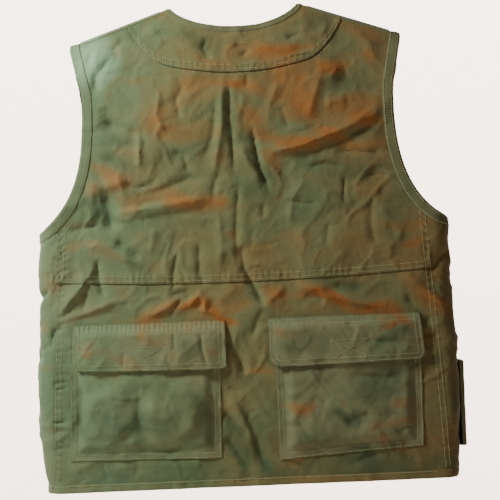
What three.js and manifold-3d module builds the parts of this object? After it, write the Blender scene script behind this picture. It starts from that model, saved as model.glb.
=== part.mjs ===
// A fishing vest, hanging upright from the loop inside its back neck.
// Millimetres, +Z up. The front faces -Y, the back faces +Y, the wearer's left is +X.
// Heights are measured from the hem while modelling; the last group moves the origin to the hang loop.
import * as THREE from "three";
import { mergeVertices } from "three/addons/utils/BufferGeometryUtils.js";
import Module from "manifold-3d";

const wasm = await Module();
wasm.setup();

// ---- Driving dimensions -------------------------------------------------------------------------
const CLOTH = 1.6; // one layer of twill with its seam allowance
const GAP = 0.3; // between any two pieces sewn edge to edge
const SEAM = 0.5; // the same gap measured straight up across a sloping seam

const NECK_HALF = 93; // neck point, from the centre line
const NECK_HEIGHT = 655;
const NECK_DIP = 31.5; // how far the back neck drops below the neck points
const SHOULDER_HALF = 228;
const SHOULDER_DROP = 46.5;
const SHOULDER_ROLL = 140; // length over which the back rounds over to the shoulder
const ARMPIT_HEIGHT = 356;
const ARMPIT_HALF = 280.5;
const HEM_HALF = 283;
const WAIST_HALF = 291;
const WAIST_HEIGHT = 130;
const SIDE_SEAM_TOP = 252; // where the side panel meets the back, at the armpit
const SIDE_SEAM_HEM = 258;
const SIDE_SEAM_END = 380; // height at which the seam runs into the armhole

const BACK_Y = 30; // outer face of the back
const RIDGE_BACK_Y = 4; // outer face of the back at the shoulder line
const AXIS_TOP = { x: 95, y: -6, z: 650 }; // the fold line on which each front swings open
const AXIS_HEM = { x: 258, y: -16, z: 0 };
const FRONT_EDGE = 5; // zip teeth, from the centre line
const FRONT_BOTTOM_Y = -52; // outer face of the front at the hem, beside the zip
const ZIP_TOP = 470;

const YOKE_CENTRE = 569; // height of the yoke seam at the centre back
const YOKE_END = 66; // how far past the neck point the yoke seam meets the shoulder line
// How the curves swing: the back neck's handles, the front neck's offsets and the armholes' handles.
const NECK_CURVE = { reach: 0.62, dip: 1.33 };
const FRONT_NECK = { inset: 4, drop: 6, bow: 44, depth: 62, rise: 10 };
const ARMHOLE = { straight: 64, high: 124, low: 39, back: [14, 17, 14], front: [5, 5, 9] };
const WAIST_SEAM = 285; // height of the seam across the back
const HEM_BAND = 10;

const BINDING = { armhole: 14, neck: 8, proud: 0.6 };
// The cut for a binding: how far it runs past the edge, through the cloth and, round the armpit, clear.
const CUT = { beyond: 6, deep: 4, clear: 0.7 };
const SHOULDER_TAPE = { width: 9, thick: 1.6 };
const HANG_LOOP = { half: 26, bow: 9, height: 608, width: 8, thick: 1.6 };

const PATCH = { width: 50, height: 25, thick: 1.0, clear: 0.5, inset: 8 }; // hook and loop closure
const FLAP = { clear: 1, corner: 11, lip: 13 };
// Pockets: the body's box, the room in it at its mouth and base, its flap, and its closure's middle.
const BACK_POCKET = {
  body: { x0: 35, x1: 240, z0: 40, z1: 215 },
  room: { mouth: 7, base: 17 },
  flap: { x0: 30, x1: 237, low: 161 },
  patchX: 138,
};
const CARGO_POCKET = {
  body: { x0: 30, x1: 184, z0: 34, z1: 192 },
  room: { mouth: 10, base: 24 },
  flap: { x0: 26, x1: 188, low: 142 },
  patchX: 107,
};
const CHEST_POCKET = {
  body: { x0: 34, x1: 134, z0: 316, z1: 418 },
  room: { mouth: 10, base: 20 },
  flap: { x0: 30, x1: 138, low: 374 },
  patchX: 84,
};
const SIDE_POCKET = { x0: 266, x1: 298, y0: -34, y1: 8, z0: 40, z1: 157 };

const ZIP = { teeth: 3, front: 0.3, back: -2.9, tape: 14, tapeThick: 1.0, root: 1, low: 24, panelEdge: 11 };
const FACING = { width: 40, thick: 1.0 };
const TOP_STOP = { height: 3.7, nip: 0.4, proud: 0.6 };
const SLIDER = { low: 26, height: 12, wall: 1.3, play: 0.4, reach: 4.8 };
const BAIL = { thick: 1.4, low: 1.5, high: 0.5, wall: 1, hole: 2.6 };
const PULL = { half: 3, bar: 0.7, arm: 1.6, plate: 22, offset: 1.3, drop: 3, clear: 1.4 };
const RETAINER = { height: 10, overhang: 3, behind: 0.5, proud: 0.9 };
const PIN = { width: 3, height: 12 };

// ---- Solids -------------------------------------------------------------------------------------

// A closed geometry as a manifold solid, turned right way out.
function bodyOf(geometry) {
  const bare = geometry.clone();
  bare.deleteAttribute("normal");
  bare.deleteAttribute("uv");
  const merged = mergeVertices(bare, 1e-4);
  const triVerts = new Uint32Array(merged.index.array);
  const vertProperties = merged.attributes.position.array;
  const made = new wasm.Manifold(new wasm.Mesh({ numProp: 3, vertProperties, triVerts }));
  if (made.volume() > 0) return made;
  for (let i = 0; i < triVerts.length; i += 3) {
    [triVerts[i + 1], triVerts[i + 2]] = [triVerts[i + 2], triVerts[i + 1]];
  }
  return new wasm.Manifold(new wasm.Mesh({ numProp: 3, vertProperties, triVerts }));
}

function geometryOf(body) {
  const mesh = body.getMesh();
  const position = new Float32Array(mesh.numVert * 3);
  for (let i = 0; i < mesh.numVert; i++) {
    position.set(mesh.vertProperties.subarray(i * mesh.numProp, i * mesh.numProp + 3), i * 3);
  }
  const geometry = new THREE.BufferGeometry();
  geometry.setAttribute("position", new THREE.BufferAttribute(position, 3));
  geometry.setIndex(new THREE.BufferAttribute(mesh.triVerts, 1));
  geometry.computeVertexNormals();
  return geometry;
}

function indexed(points, triangles) {
  const geometry = new THREE.BufferGeometry().setFromPoints(points);
  geometry.setIndex(triangles);
  return geometry;
}

// Rows of closed rings joined into one solid: each ring is a list of points, all of one length.
function loft(rings, closed = false) {
  const n = rings[0].length;
  const triangles = [];
  const last = closed ? rings.length : rings.length - 1;
  for (let i = 0; i < last; i++) {
    const here = i * n;
    const next = ((i + 1) % rings.length) * n;
    for (let j = 0; j < n; j++) {
      const k = (j + 1) % n;
      triangles.push(here + j, here + k, next + k, here + j, next + k, next + j);
    }
  }
  if (!closed) {
    const end = (rings.length - 1) * n;
    for (let j = 1; j < n - 1; j++) {
      triangles.push(0, j + 1, j, end, end + j, end + j + 1);
    }
  }
  return bodyOf(indexed(rings.flat(), triangles));
}

// A cloth of one thickness: faceAt(column, row, depth) gives a point of its outer (0) or inner (CLOTH) face.
function cloth(columns, rows, faceAt) {
  const points = [];
  const triangles = [];
  const nc = columns.length;
  const nr = rows.length;
  for (const depth of [0, CLOTH]) {
    for (const row of rows) for (const column of columns) points.push(faceAt(column, row, depth));
  }
  const at = (c, r, side) => side * nc * nr + r * nc + c;
  const quad = (a, b, c, d) => triangles.push(a, b, c, a, c, d);
  for (let r = 0; r < nr - 1; r++) {
    for (let c = 0; c < nc - 1; c++) {
      quad(at(c, r, 0), at(c + 1, r, 0), at(c + 1, r + 1, 0), at(c, r + 1, 0));
      quad(at(c, r, 1), at(c, r + 1, 1), at(c + 1, r + 1, 1), at(c + 1, r, 1));
    }
  }
  for (let c = 0; c < nc - 1; c++) {
    quad(at(c, 0, 0), at(c, 0, 1), at(c + 1, 0, 1), at(c + 1, 0, 0));
    quad(at(c, nr - 1, 0), at(c + 1, nr - 1, 0), at(c + 1, nr - 1, 1), at(c, nr - 1, 1));
  }
  for (let r = 0; r < nr - 1; r++) {
    quad(at(0, r, 0), at(0, r + 1, 0), at(0, r + 1, 1), at(0, r, 1));
    quad(at(nc - 1, r, 0), at(nc - 1, r, 1), at(nc - 1, r + 1, 1), at(nc - 1, r + 1, 0));
  }
  return bodyOf(indexed(points, triangles));
}

// A ribbon sewn along stations {point, normal}: it covers w0..w1 across the cloth and n0..n1 through it.
function ribbon(stations, [w0, w1], [n0, n1], closed = false) {
  const count = stations.length;
  const rings = stations.map(({ point, normal }, i) => {
    const before = stations[closed ? (i + count - 1) % count : Math.max(i - 1, 0)].point;
    const after = stations[closed ? (i + 1) % count : Math.min(i + 1, count - 1)].point;
    const along = after.clone().sub(before).normalize();
    const across = normal.clone().cross(along).normalize();
    const up = along.clone().cross(across).normalize();
    const corner = (w, n) => point.clone().addScaledVector(across, w).addScaledVector(up, n);
    return [corner(w0, n0), corner(w1, n0), corner(w1, n1), corner(w0, n1)];
  });
  return loft(rings, closed);
}

// An outline in X and Z, extruded from y0 to y1.
function prism(outline, y0, y1, curveSegments = 10) {
  const geometry = new THREE.ExtrudeGeometry(outline, { depth: y1 - y0, bevelEnabled: false, curveSegments });
  return bodyOf(geometry.rotateX(Math.PI / 2).translate(0, y1, 0));
}

// A profile in Y and Z, extruded from x0 to x1.
function profile(points, x0, x1) {
  const ring = (x) => points.map(([y, z]) => new THREE.Vector3(x, y, z));
  return loft([ring(x0), ring(x1)]);
}

function block(x0, x1, y0, y1, z0, z1) {
  const geometry = new THREE.BoxGeometry(x1 - x0, y1 - y0, z1 - z0);
  return bodyOf(geometry.translate((x0 + x1) / 2, (y0 + y1) / 2, (z0 + z1) / 2));
}

function polygon(points) {
  return new THREE.Shape(points.map(([x, z]) => new THREE.Vector2(x, z)));
}

// ---- The surfaces that the cloth follows --------------------------------------------------------

const shoulderSlope = SHOULDER_DROP / (SHOULDER_HALF - NECK_HALF);
const shoulderTip = NECK_HEIGHT - SHOULDER_DROP;
const sideCurve = new THREE.SplineCurve([
  new THREE.Vector2(HEM_HALF, 0),
  new THREE.Vector2((HEM_HALF + 3 * WAIST_HALF) / 4, WAIST_HEIGHT / 2),
  new THREE.Vector2(WAIST_HALF, WAIST_HEIGHT),
  new THREE.Vector2((WAIST_HALF + ARMPIT_HALF) / 2, (WAIST_HEIGHT + ARMPIT_HEIGHT) / 2),
  new THREE.Vector2(ARMPIT_HALF, ARMPIT_HEIGHT),
]);
const sidePoints = sideCurve.getPoints(40);

function shoulderHeight(x) {
  return NECK_HEIGHT - Math.max(Math.abs(x) - NECK_HALF, 0) * shoulderSlope;
}

// Half the width of the garment at a height.
function sideHalf(z) {
  const next = sidePoints.findIndex((p) => p.y >= z);
  if (next < 0) return ARMPIT_HALF;
  if (next === 0) return HEM_HALF;
  const [low, high] = [sidePoints[next - 1], sidePoints[next]];
  return low.x + ((high.x - low.x) * (z - low.y)) / (high.y - low.y);
}

function backY(x, z) {
  const below = THREE.MathUtils.clamp((shoulderHeight(x) - z) / SHOULDER_ROLL, 0, 1);
  return RIDGE_BACK_Y + (BACK_Y - RIDGE_BACK_Y) * Math.sin((Math.PI / 2) * below);
}

// The fold line of a front, and the flat side panel that starts from it.
function axisX(z) {
  return AXIS_HEM.x + ((AXIS_TOP.x - AXIS_HEM.x) * z) / AXIS_TOP.z;
}
function sideY(z) {
  return AXIS_HEM.y + ((AXIS_TOP.y - AXIS_HEM.y) * z) / AXIS_TOP.z;
}

// The round edge that joins the back to the side panel.
function edgeRound(z) {
  const radius = (BACK_Y - sideY(z)) / 2;
  return { radius, x: sideHalf(z) - radius, y: BACK_Y - radius };
}

// The inner face of the yoke that the hang loop is sewn to, at the loop's upper edge.
const hangLoopSeat = backY(0, HANG_LOOP.height + HANG_LOOP.width) - CLOTH - GAP;

// A station on the outer cloth at (x, z), on the back (facing 1) or on the side panel (facing -1).
function onBody(x, z, facing) {
  const { radius, x: cx, y: cy } = edgeRound(z);
  if (x > cx) {
    const sine = Math.min((x - cx) / radius, 1);
    const cosine = Math.sqrt(1 - sine * sine) * facing;
    return {
      point: new THREE.Vector3(cx + radius * sine, cy + radius * cosine, z),
      normal: new THREE.Vector3(sine, cosine, 0),
    };
  }
  if (facing < 0) return { point: new THREE.Vector3(x, sideY(z), z), normal: new THREE.Vector3(0, -1, 0) };
  const rise = backY(x, z + 1) - backY(x, z - 1);
  return { point: new THREE.Vector3(x, backY(x, z), z), normal: new THREE.Vector3(0, 1, -rise / 2) };
}

// The flat front: y = base + across * x + up * z on its outer face, for x on the wearer's left.
const frontPlane = (() => {
  const across = (AXIS_HEM.y - FRONT_BOTTOM_Y) / (AXIS_HEM.x - FRONT_EDGE);
  const base = FRONT_BOTTOM_Y - across * FRONT_EDGE;
  const up = (AXIS_TOP.y - base - across * AXIS_TOP.x) / AXIS_TOP.z;
  return { base, across, up, stretch: Math.hypot(1, across, up) };
})();

// Lays a solid that was drawn with its outer side at +Y on to the flat front.
function onFront(body) {
  const { base, across, up, stretch } = frontPlane;
  const lay = new THREE.Matrix4().set(1, 0, 0, 0, across, -stretch, up, base, 0, 0, 1, 0, 0, 0, 0, 1);
  return bodyOf(geometryOf(body).applyMatrix4(lay));
}

// ---- Outlines -----------------------------------------------------------------------------------

// The curved part of an armhole, which stands in from the shoulder tip by three amounts on its way down.
function armholeCurve([top, middle, bottom]) {
  return new THREE.CubicBezierCurve(
    new THREE.Vector2(SHOULDER_HALF - top, shoulderTip - ARMHOLE.straight),
    new THREE.Vector2(SHOULDER_HALF - middle, ARMPIT_HEIGHT + ARMHOLE.high),
    new THREE.Vector2(SHOULDER_HALF - bottom, ARMPIT_HEIGHT + ARMHOLE.low),
    new THREE.Vector2(ARMPIT_HALF, ARMPIT_HEIGHT),
  );
}
const armholeBack = armholeCurve(ARMHOLE.back);
const armholeFront = armholeCurve(ARMHOLE.front);

// The yoke seam, from the left shoulder line down to the centre back and up again.
function yokeSeam(lift) {
  const dip = NECK_HEIGHT - YOKE_CENTRE;
  const half = [
    [NECK_HALF + YOKE_END, dip * 1.1],
    [NECK_HALF + 54, dip * 0.77],
    [NECK_HALF + 34, dip * 0.42],
    [NECK_HALF + 7, dip * 0.17],
    [NECK_HALF / 2, dip * 0.035],
  ];
  const left = half.map(([x, rise]) => new THREE.Vector2(x, YOKE_CENTRE + rise + lift));
  const right = left.map((p) => new THREE.Vector2(-p.x, p.y)).reverse();
  return new THREE.SplineCurve([...left, new THREE.Vector2(0, YOKE_CENTRE + lift), ...right]).getPoints(28);
}

function backNeck() {
  const reach = NECK_HALF * NECK_CURVE.reach;
  const handle = NECK_HEIGHT - NECK_DIP * NECK_CURVE.dip;
  return new THREE.CubicBezierCurve(
    new THREE.Vector2(NECK_HALF, NECK_HEIGHT),
    new THREE.Vector2(reach, handle),
    new THREE.Vector2(-reach, handle),
    new THREE.Vector2(-NECK_HALF, NECK_HEIGHT),
  ).getPoints(16);
}

const frontNeck = new THREE.QuadraticBezierCurve(
  new THREE.Vector2(AXIS_TOP.x - FRONT_NECK.inset, AXIS_TOP.z - FRONT_NECK.drop),
  new THREE.Vector2(AXIS_TOP.x - FRONT_NECK.bow, ZIP_TOP + FRONT_NECK.depth),
  new THREE.Vector2(ZIP.panelEdge, ZIP_TOP + FRONT_NECK.rise),
);

// Stations all round one armhole: down the back, round the armpit, up the front and over the shoulder.
function armholeStations() {
  const steps = 13;
  const stations = [];
  const down = (curve, facing) => {
    const side = [onBody(SHOULDER_HALF, shoulderTip, facing)];
    for (let i = 0; i <= steps; i++) {
      const p = curve.getPoint(Math.sin(((Math.PI / 2) * i) / steps));
      side.push(onBody(p.x, p.y, facing));
    }
    return side;
  };
  stations.push(...down(armholeBack, 1));
  stations.push(...down(armholeFront, -1).reverse().slice(1));
  const ridge = new THREE.Vector3(SHOULDER_HALF, (RIDGE_BACK_Y + sideY(shoulderTip)) / 2, shoulderTip + 2);
  stations.push({ point: ridge, normal: new THREE.Vector3(0, 0, 1) });
  return stations;
}

function neckStations() {
  const ridge = {
    point: new THREE.Vector3(NECK_HALF + 1, (RIDGE_BACK_Y + AXIS_TOP.y) / 2, NECK_HEIGHT + 1),
    normal: new THREE.Vector3(0.3, 0, 1),
  };
  const mirrored = {
    point: ridge.point.clone().setX(-ridge.point.x),
    normal: ridge.normal.clone().setX(-ridge.normal.x),
  };
  const along = backNeck().map((p) => {
    const { point, normal } = onBody(Math.abs(p.x), p.y, 1);
    point.x = p.x;
    return { point, normal };
  });
  return [ridge, ...along, mirrored];
}

// ---- Pieces of the back -------------------------------------------------------------------------

const mirror = (list) => list.map(([x, z]) => [-x, z]).reverse();

// The cloth of the whole back as one sheet, cut to its outline and to the bindings round it.
function backCloth() {
  const reach = SIDE_SEAM_HEM + 4;
  const half = [reach, SHOULDER_HALF, 200, 170, 145, 118, NECK_HALF, NECK_HALF / 2];
  const columns = [...half.map((x) => -x), 0, ...half.slice().reverse()];
  const roll = shoulderTip - SHOULDER_ROLL;
  const rows = [0, WAIST_SEAM];
  for (let i = 0; i <= 8; i++) rows.push(roll + ((NECK_HEIGHT + 6 - roll) * i) / 8);
  const sheet = cloth(columns, rows, (x, z, depth) => new THREE.Vector3(x, backY(x, z) - depth, z));
  const armhole = armholeBack.getPoints(16).map((p) => [p.x, p.y]);
  const topOfSeam = armhole.filter(([x]) => x < SIDE_SEAM_TOP - 0.5);
  const left = [
    [SIDE_SEAM_HEM, 0],
    [SIDE_SEAM_TOP, SIDE_SEAM_END],
    ...topOfSeam.reverse(),
    [SHOULDER_HALF, shoulderTip],
    [NECK_HALF, NECK_HEIGHT],
  ];
  const outline = polygon([...left, ...backNeck().slice(1, -1).map((p) => [p.x, p.y]), ...mirror(left)]);
  return sheet.intersect(prism(outline, RIDGE_BACK_Y - 20, BACK_Y + 20));
}

function backPanels() {
  const whole = backCloth()
    .subtract(armholeCutter(1))
    .subtract(armholeCutter(-1))
    .subtract(neckCutter())
    .subtract(tapeCutter(1))
    .subtract(tapeCutter(-1));
  const wide = WAIST_HALF + 20;
  const [y0, y1] = [RIDGE_BACK_Y - 20, BACK_Y + 20];
  const top = NECK_HEIGHT + 20;
  const asPairs = (curve) => curve.map((p) => [p.x, p.y]);
  const yokeEnd = NECK_HALF + YOKE_END;
  const yokeRegion = polygon([[yokeEnd, top], ...asPairs(yokeSeam(SEAM / 2)), [-yokeEnd, top]]);
  const upperRegion = polygon([
    [wide, WAIST_SEAM + GAP / 2],
    [wide, top],
    [yokeEnd, top],
    ...asPairs(yokeSeam(-SEAM / 2)),
    [-yokeEnd, top],
    [-wide, top],
    [-wide, WAIST_SEAM + GAP / 2],
  ]);
  return {
    back_yoke: whole.intersect(prism(yokeRegion, y0, y1)),
    back_upper_panel: whole.intersect(prism(upperRegion, y0, y1)),
    back_lower_panel: whole.intersect(block(-wide, wide, y0, y1, HEM_BAND + GAP, WAIST_SEAM - GAP / 2)),
    back_hem_band: whole.intersect(block(-wide, wide, y0, y1, 0, HEM_BAND)),
  };
}

// ---- Bindings, tapes and the side panels --------------------------------------------------------

function onSide(body, side) {
  return side > 0 ? body : bodyOf(geometryOf(body).scale(-1, 1, 1));
}

// What a binding takes away from the cloth that it covers: all beyond the edge, and a gap inside it.
function armholeCutter(side) {
  const cutter = ribbon(armholeStations(), [-CUT.beyond, BINDING.armhole + CUT.clear], [-CUT.deep, CUT.deep], true);
  return onSide(cutter, side);
}

function neckCutter() {
  return ribbon(neckStations(), [-BINDING.neck - GAP, CUT.beyond], [-CUT.deep, CUT.deep]);
}

function armholeBinding() {
  const through = [-CLOTH - BINDING.proud, BINDING.proud];
  return ribbon(armholeStations(), [0, BINDING.armhole], through, true);
}

// The tape over one shoulder seam, drawn grown by a margin on every side.
function shoulderTape(margin) {
  const { width, thick } = SHOULDER_TAPE;
  const y = (RIDGE_BACK_Y + sideY(NECK_HEIGHT)) / 2;
  const x0 = NECK_HALF + BINDING.neck + GAP * 2 - margin;
  const x1 = SHOULDER_HALF - BINDING.armhole - GAP * 2 + margin;
  const at = (x, drop) => [x, shoulderHeight(x) - drop];
  const outline = polygon([at(x0, thick + margin), at(x1, thick + margin), at(x1, -margin), at(x0, -margin)]);
  return prism(outline, y - width / 2 - margin, y + width / 2 + margin);
}

function tapeCutter(side) {
  return onSide(shoulderTape(GAP), side);
}

// The side panel: from the fold line of the front, round the side, to the side seam on the back.
function sidePanel() {
  const rows = [0, 60, 130, 240, ARMPIT_HEIGHT, ARMPIT_HEIGHT + 45, NECK_HEIGHT + 6];
  const arcSteps = 8;
  const columns = [...Array(arcSteps + 5).keys()];
  const sheet = cloth(columns, rows, (column, z, depth) => {
    const { radius, x, y } = edgeRound(z);
    if (column === 0) return new THREE.Vector3(SIDE_SEAM_TOP - 6, BACK_Y - depth, z);
    if (column <= arcSteps + 1) {
      const turn = (Math.PI * (column - 1)) / arcSteps;
      const r = radius - depth;
      return new THREE.Vector3(x + r * Math.sin(turn), y + r * Math.cos(turn), z);
    }
    const share = (column - arcSteps - 1) / 3;
    return new THREE.Vector3(x + (AXIS_TOP.x - 10 - x) * share, sideY(z) + depth, z);
  });
  const wide = WAIST_HALF + 20;
  const middle = BACK_Y - edgeRound(ARMPIT_HEIGHT).radius;
  const armhole = (curve) => curve.getPoints(16).map((p) => [p.x, p.y]);
  const frontRegion = polygon([
    [AXIS_HEM.x + GAP, 0],
    [wide, 0],
    [wide, ARMPIT_HEIGHT],
    ...armhole(armholeFront).reverse(),
    [SHOULDER_HALF, shoulderTip - GAP],
    [AXIS_TOP.x + GAP, NECK_HEIGHT],
    [AXIS_TOP.x + GAP, AXIS_TOP.z],
  ]);
  const backRegion = polygon([
    [SIDE_SEAM_HEM + GAP, 0],
    [wide, 0],
    [wide, ARMPIT_HEIGHT],
    ...armhole(armholeBack).reverse().filter(([x]) => x > SIDE_SEAM_TOP),
    [SIDE_SEAM_TOP + GAP, SIDE_SEAM_END],
  ]);
  return sheet
    .intersect(prism(frontRegion, -60, middle + 1).add(prism(backRegion, middle, BACK_Y + 20)))
    .subtract(armholeCutter(1))
    .subtract(tapeCutter(1))
    .subtract(neckCutter());
}

function sidePocket() {
  const { x0, x1, y0, y1, z0, z1 } = SIDE_POCKET;
  const rows = [z0 - 5, z0 + 40, z1 - 30, z1 + 5];
  const rings = rows.map((z) => {
    const { radius, x, y } = edgeRound(z);
    const r = radius + GAP;
    const ring = [];
    for (let i = 0; i <= 10; i++) {
      const turn = (Math.PI * i) / 10;
      ring.push(new THREE.Vector3(x + r * Math.sin(turn), y + r * Math.cos(turn), z));
    }
    const inner = AXIS_HEM.x - 60;
    ring.push(new THREE.Vector3(inner, sideY(z) - GAP, z), new THREE.Vector3(inner, BACK_Y, z));
    return ring;
  });
  const room = block(x0 + CLOTH, x1 - CLOTH, y0 + CLOTH, y1 + 1, z0 + CLOTH, z1 + 1);
  const wall = block(x1 - CLOTH - 1, x1, y1 - CLOTH, y1, z0, z1);
  return block(x0, x1, y0, y1, z0, z1).subtract(room).add(wall).subtract(loft(rings));
}

// The loop is sewn flat to the inside of the yoke at both ends and bows away from it between them.
function hangLoop() {
  const { half, bow, height, width, thick } = HANG_LOOP;
  const path = [
    [half + 8, 0],
    [half, 0],
    [half * 0.86, bow * 0.62],
    [half * 0.6, bow * 0.95],
    [0, bow],
  ];
  const at = ([x, out]) => ({
    point: new THREE.Vector3(x, hangLoopSeat - out, height),
    normal: new THREE.Vector3(0, -1, 0),
  });
  const other = path.slice(0, -1).reverse().map(([x, out]) => [-x, out]);
  return ribbon([...path, ...other].map(at), [-width, 0], [0, thick]);
}

// ---- Pockets and flaps, drawn flat with their outer side at +Y ----------------------------------

// The outer face of a pocket at a height, measured out from the cloth that it is sewn to.
function pocketFace({ body, room }, z) {
  const share = (body.z1 - z) / (body.z1 - body.z0);
  return room.mouth + (room.base - room.mouth) * share + CLOTH;
}

const flapStandOff = GAP + PATCH.thick + PATCH.clear + PATCH.thick + GAP;

function pocket(spec) {
  const { x0, x1, z0, z1 } = spec.body;
  const outer = [
    [GAP, z0],
    [pocketFace(spec, z0), z0],
    [pocketFace(spec, z1), z1],
    [GAP, z1],
  ];
  const inner = [
    [-1, z0 + CLOTH],
    [pocketFace(spec, z0) - CLOTH, z0 + CLOTH],
    [pocketFace(spec, z1) - CLOTH, z1 + 1],
    [-1, z1 + 1],
  ];
  return profile(outer, x0, x1).subtract(profile(inner, x0 + CLOTH, x1 - CLOTH));
}

function flap(spec) {
  const mouth = spec.body.z1;
  const top = mouth + FLAP.lip;
  const knee = mouth + FLAP.clear;
  const { x0, x1, low } = spec.flap;
  const near = (z) => pocketFace(spec, Math.min(z, mouth)) + flapStandOff;
  const points = [
    [GAP, top],
    [near(knee), knee],
    [near(low), low],
    [near(low) + CLOTH, low],
    [near(knee) + CLOTH, knee + CLOTH],
    [GAP + CLOTH, top],
  ];
  const r = FLAP.corner;
  const outline = new THREE.Shape();
  outline.moveTo(x0 + r, low);
  outline.lineTo(x1 - r, low);
  outline.absarc(x1 - r, low + r, r, -Math.PI / 2, 0);
  outline.lineTo(x1, top + 1);
  outline.lineTo(x0, top + 1);
  outline.lineTo(x0, low + r);
  outline.absarc(x0 + r, low + r, r, Math.PI, (3 * Math.PI) / 2);
  return profile(points, x0 - 1, x1 + 1).intersect(prism(outline, -1, near(low) + 10, 5));
}

// A closure patch whose inner face stands off the pocket's face by a fixed distance.
function patch(spec, standOff) {
  const low = spec.flap.low + PATCH.inset;
  const high = low + PATCH.height;
  const near = (z) => pocketFace(spec, z) + standOff;
  const points = [
    [near(low), low],
    [near(high), high],
    [near(high) + PATCH.thick, high],
    [near(low) + PATCH.thick, low],
  ];
  return profile(points, spec.patchX - PATCH.width / 2, spec.patchX + PATCH.width / 2);
}

function pocketPieces(name, spec) {
  return {
    [`${name}_pocket`]: pocket(spec),
    [`${name}_pocket_loop_patch`]: patch(spec, GAP),
    [`${name}_flap`]: flap(spec),
    [`${name}_flap_hook_patch`]: patch(spec, GAP + PATCH.thick + PATCH.clear),
  };
}

// ---- The swinging fronts, drawn flat with their outer side at +Y --------------------------------

function frontNeckStations() {
  return frontNeck.getPoints(12).map((p) => ({
    point: new THREE.Vector3(p.x, 0, p.y),
    normal: new THREE.Vector3(0, 1, 0),
  }));
}

// Everything on the zip's side of the fold line, which the neck binding is trimmed to.
function swingingSide() {
  const [low, high] = [-10, NECK_HEIGHT];
  const outline = polygon([
    [0, low],
    [axisX(low) - GAP, low],
    [axisX(high) - GAP, high],
    [0, high],
  ]);
  return prism(outline, -CUT.deep, CUT.deep);
}

function frontPanel() {
  const outline = polygon([
    [ZIP.panelEdge, HEM_BAND + GAP],
    [axisX(HEM_BAND + GAP) - GAP, HEM_BAND + GAP],
    [frontNeck.v0.x + 1, frontNeck.v0.y - 3],
    ...frontNeck.getPoints(12).map((p) => [p.x, p.y]),
  ]);
  const cutter = ribbon(frontNeckStations(), [-BINDING.neck - GAP, CUT.beyond], [-CUT.deep, CUT.deep]);
  return prism(outline, -CLOTH, 0).subtract(cutter);
}

function frontPieces() {
  const { proud } = BINDING;
  const edge = FRONT_EDGE + ZIP.teeth;
  const teeth = block(FRONT_EDGE, edge, ZIP.back, ZIP.front, ZIP.low, ZIP_TOP);
  const tape = block(edge - ZIP.root, edge + ZIP.tape, ZIP.back, ZIP.back + ZIP.tapeThick, ZIP.low, ZIP_TOP);
  const stop = [ZIP.back, ZIP.front + TOP_STOP.proud, ZIP_TOP + GAP, ZIP_TOP + GAP + TOP_STOP.height];
  const facing = { x: ZIP.panelEdge + ZIP.root, y: ZIP.back - GAP, z: [HEM_BAND, ZIP_TOP] };
  const neckBinding = ribbon(frontNeckStations(), [-BINDING.neck, 0], [-CLOTH - proud, proud]);
  const hem = polygon([
    [ZIP.panelEdge, 0],
    [axisX(0) - GAP, 0],
    [axisX(HEM_BAND) - GAP, HEM_BAND],
    [ZIP.panelEdge, HEM_BAND],
  ]);
  return {
    front_panel: frontPanel(),
    front_hem_band: prism(hem, -CLOTH, 0),
    front_neck_binding: neckBinding.intersect(swingingSide()),
    front_facing: block(facing.x, facing.x + FACING.width, facing.y - FACING.thick, facing.y, ...facing.z),
    front_zip_tape: teeth.add(tape),
    front_zip_top_stop: block(FRONT_EDGE - TOP_STOP.nip, edge, ...stop),
    ...pocketPieces("chest", CHEST_POCKET),
    ...pocketPieces("cargo", CARGO_POCKET),
  };
}

function zipSlider() {
  const { low, height, wall, play, reach } = SLIDER;
  const x0 = FRONT_EDGE - reach;
  const x1 = ZIP.panelEdge - 2 * GAP;
  const y0 = ZIP.back - play - wall;
  const y1 = ZIP.front + play + wall;
  const channel = block(FRONT_EDGE - play, x1 + 1, y0 + wall, y1 - wall, low - 1, low + height + 1);
  const bailX = (x0 + x1) / 2;
  const bail = block(
    bailX - BAIL.thick / 2,
    bailX + BAIL.thick / 2,
    y1 - wall,
    y1 + BAIL.hole + BAIL.wall,
    low + BAIL.low,
    low + height - BAIL.high,
  );
  const holeLow = low + BAIL.low + BAIL.wall;
  const holeHigh = low + height - BAIL.high - BAIL.wall;
  const hole = block(bailX - BAIL.thick, bailX + BAIL.thick, y1, y1 + BAIL.hole, holeLow, holeHigh);
  return block(x0, x1, y0, y1, low, low + height).add(bail).subtract(hole).subtract(channel);
}

// The height of the pull's pivot, and its distance out from the front.
const pullPivot = {
  x: (FRONT_EDGE - SLIDER.reach + ZIP.panelEdge - 2 * GAP) / 2,
  out: ZIP.front + SLIDER.play + SLIDER.wall + PULL.offset,
  z: SLIDER.low + SLIDER.height - PULL.drop,
};

function zipPull() {
  const { half, bar, arm, plate, drop, clear } = PULL;
  const { x, out, z } = pullPivot;
  const plateTop = z - (SLIDER.height - drop - BAIL.low) - clear;
  const armAt = (x0) => block(x0, x0 + arm, out - bar, out + bar, plateTop - 1, z + bar);
  return block(x - half, x + half, out - bar, out + bar, z - bar, z + bar)
    .add(armAt(x - half))
    .add(armAt(x + half - arm))
    .add(block(x - half, x + half, out - bar, out + bar, plateTop - plate, plateTop));
}

function zipRetainer() {
  const { height, overhang, behind, proud } = RETAINER;
  const top = ZIP.low - GAP;
  const x0 = FRONT_EDGE - overhang;
  return block(x0, ZIP.panelEdge - GAP, ZIP.back - behind, ZIP.front + proud, top - height, top);
}

function zipPin() {
  const top = ZIP.low - GAP;
  return block(FRONT_EDGE, FRONT_EDGE + PIN.width, ZIP.back + GAP, ZIP.front, top - PIN.height, top);
}

// ---- Assembly -----------------------------------------------------------------------------------

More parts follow.
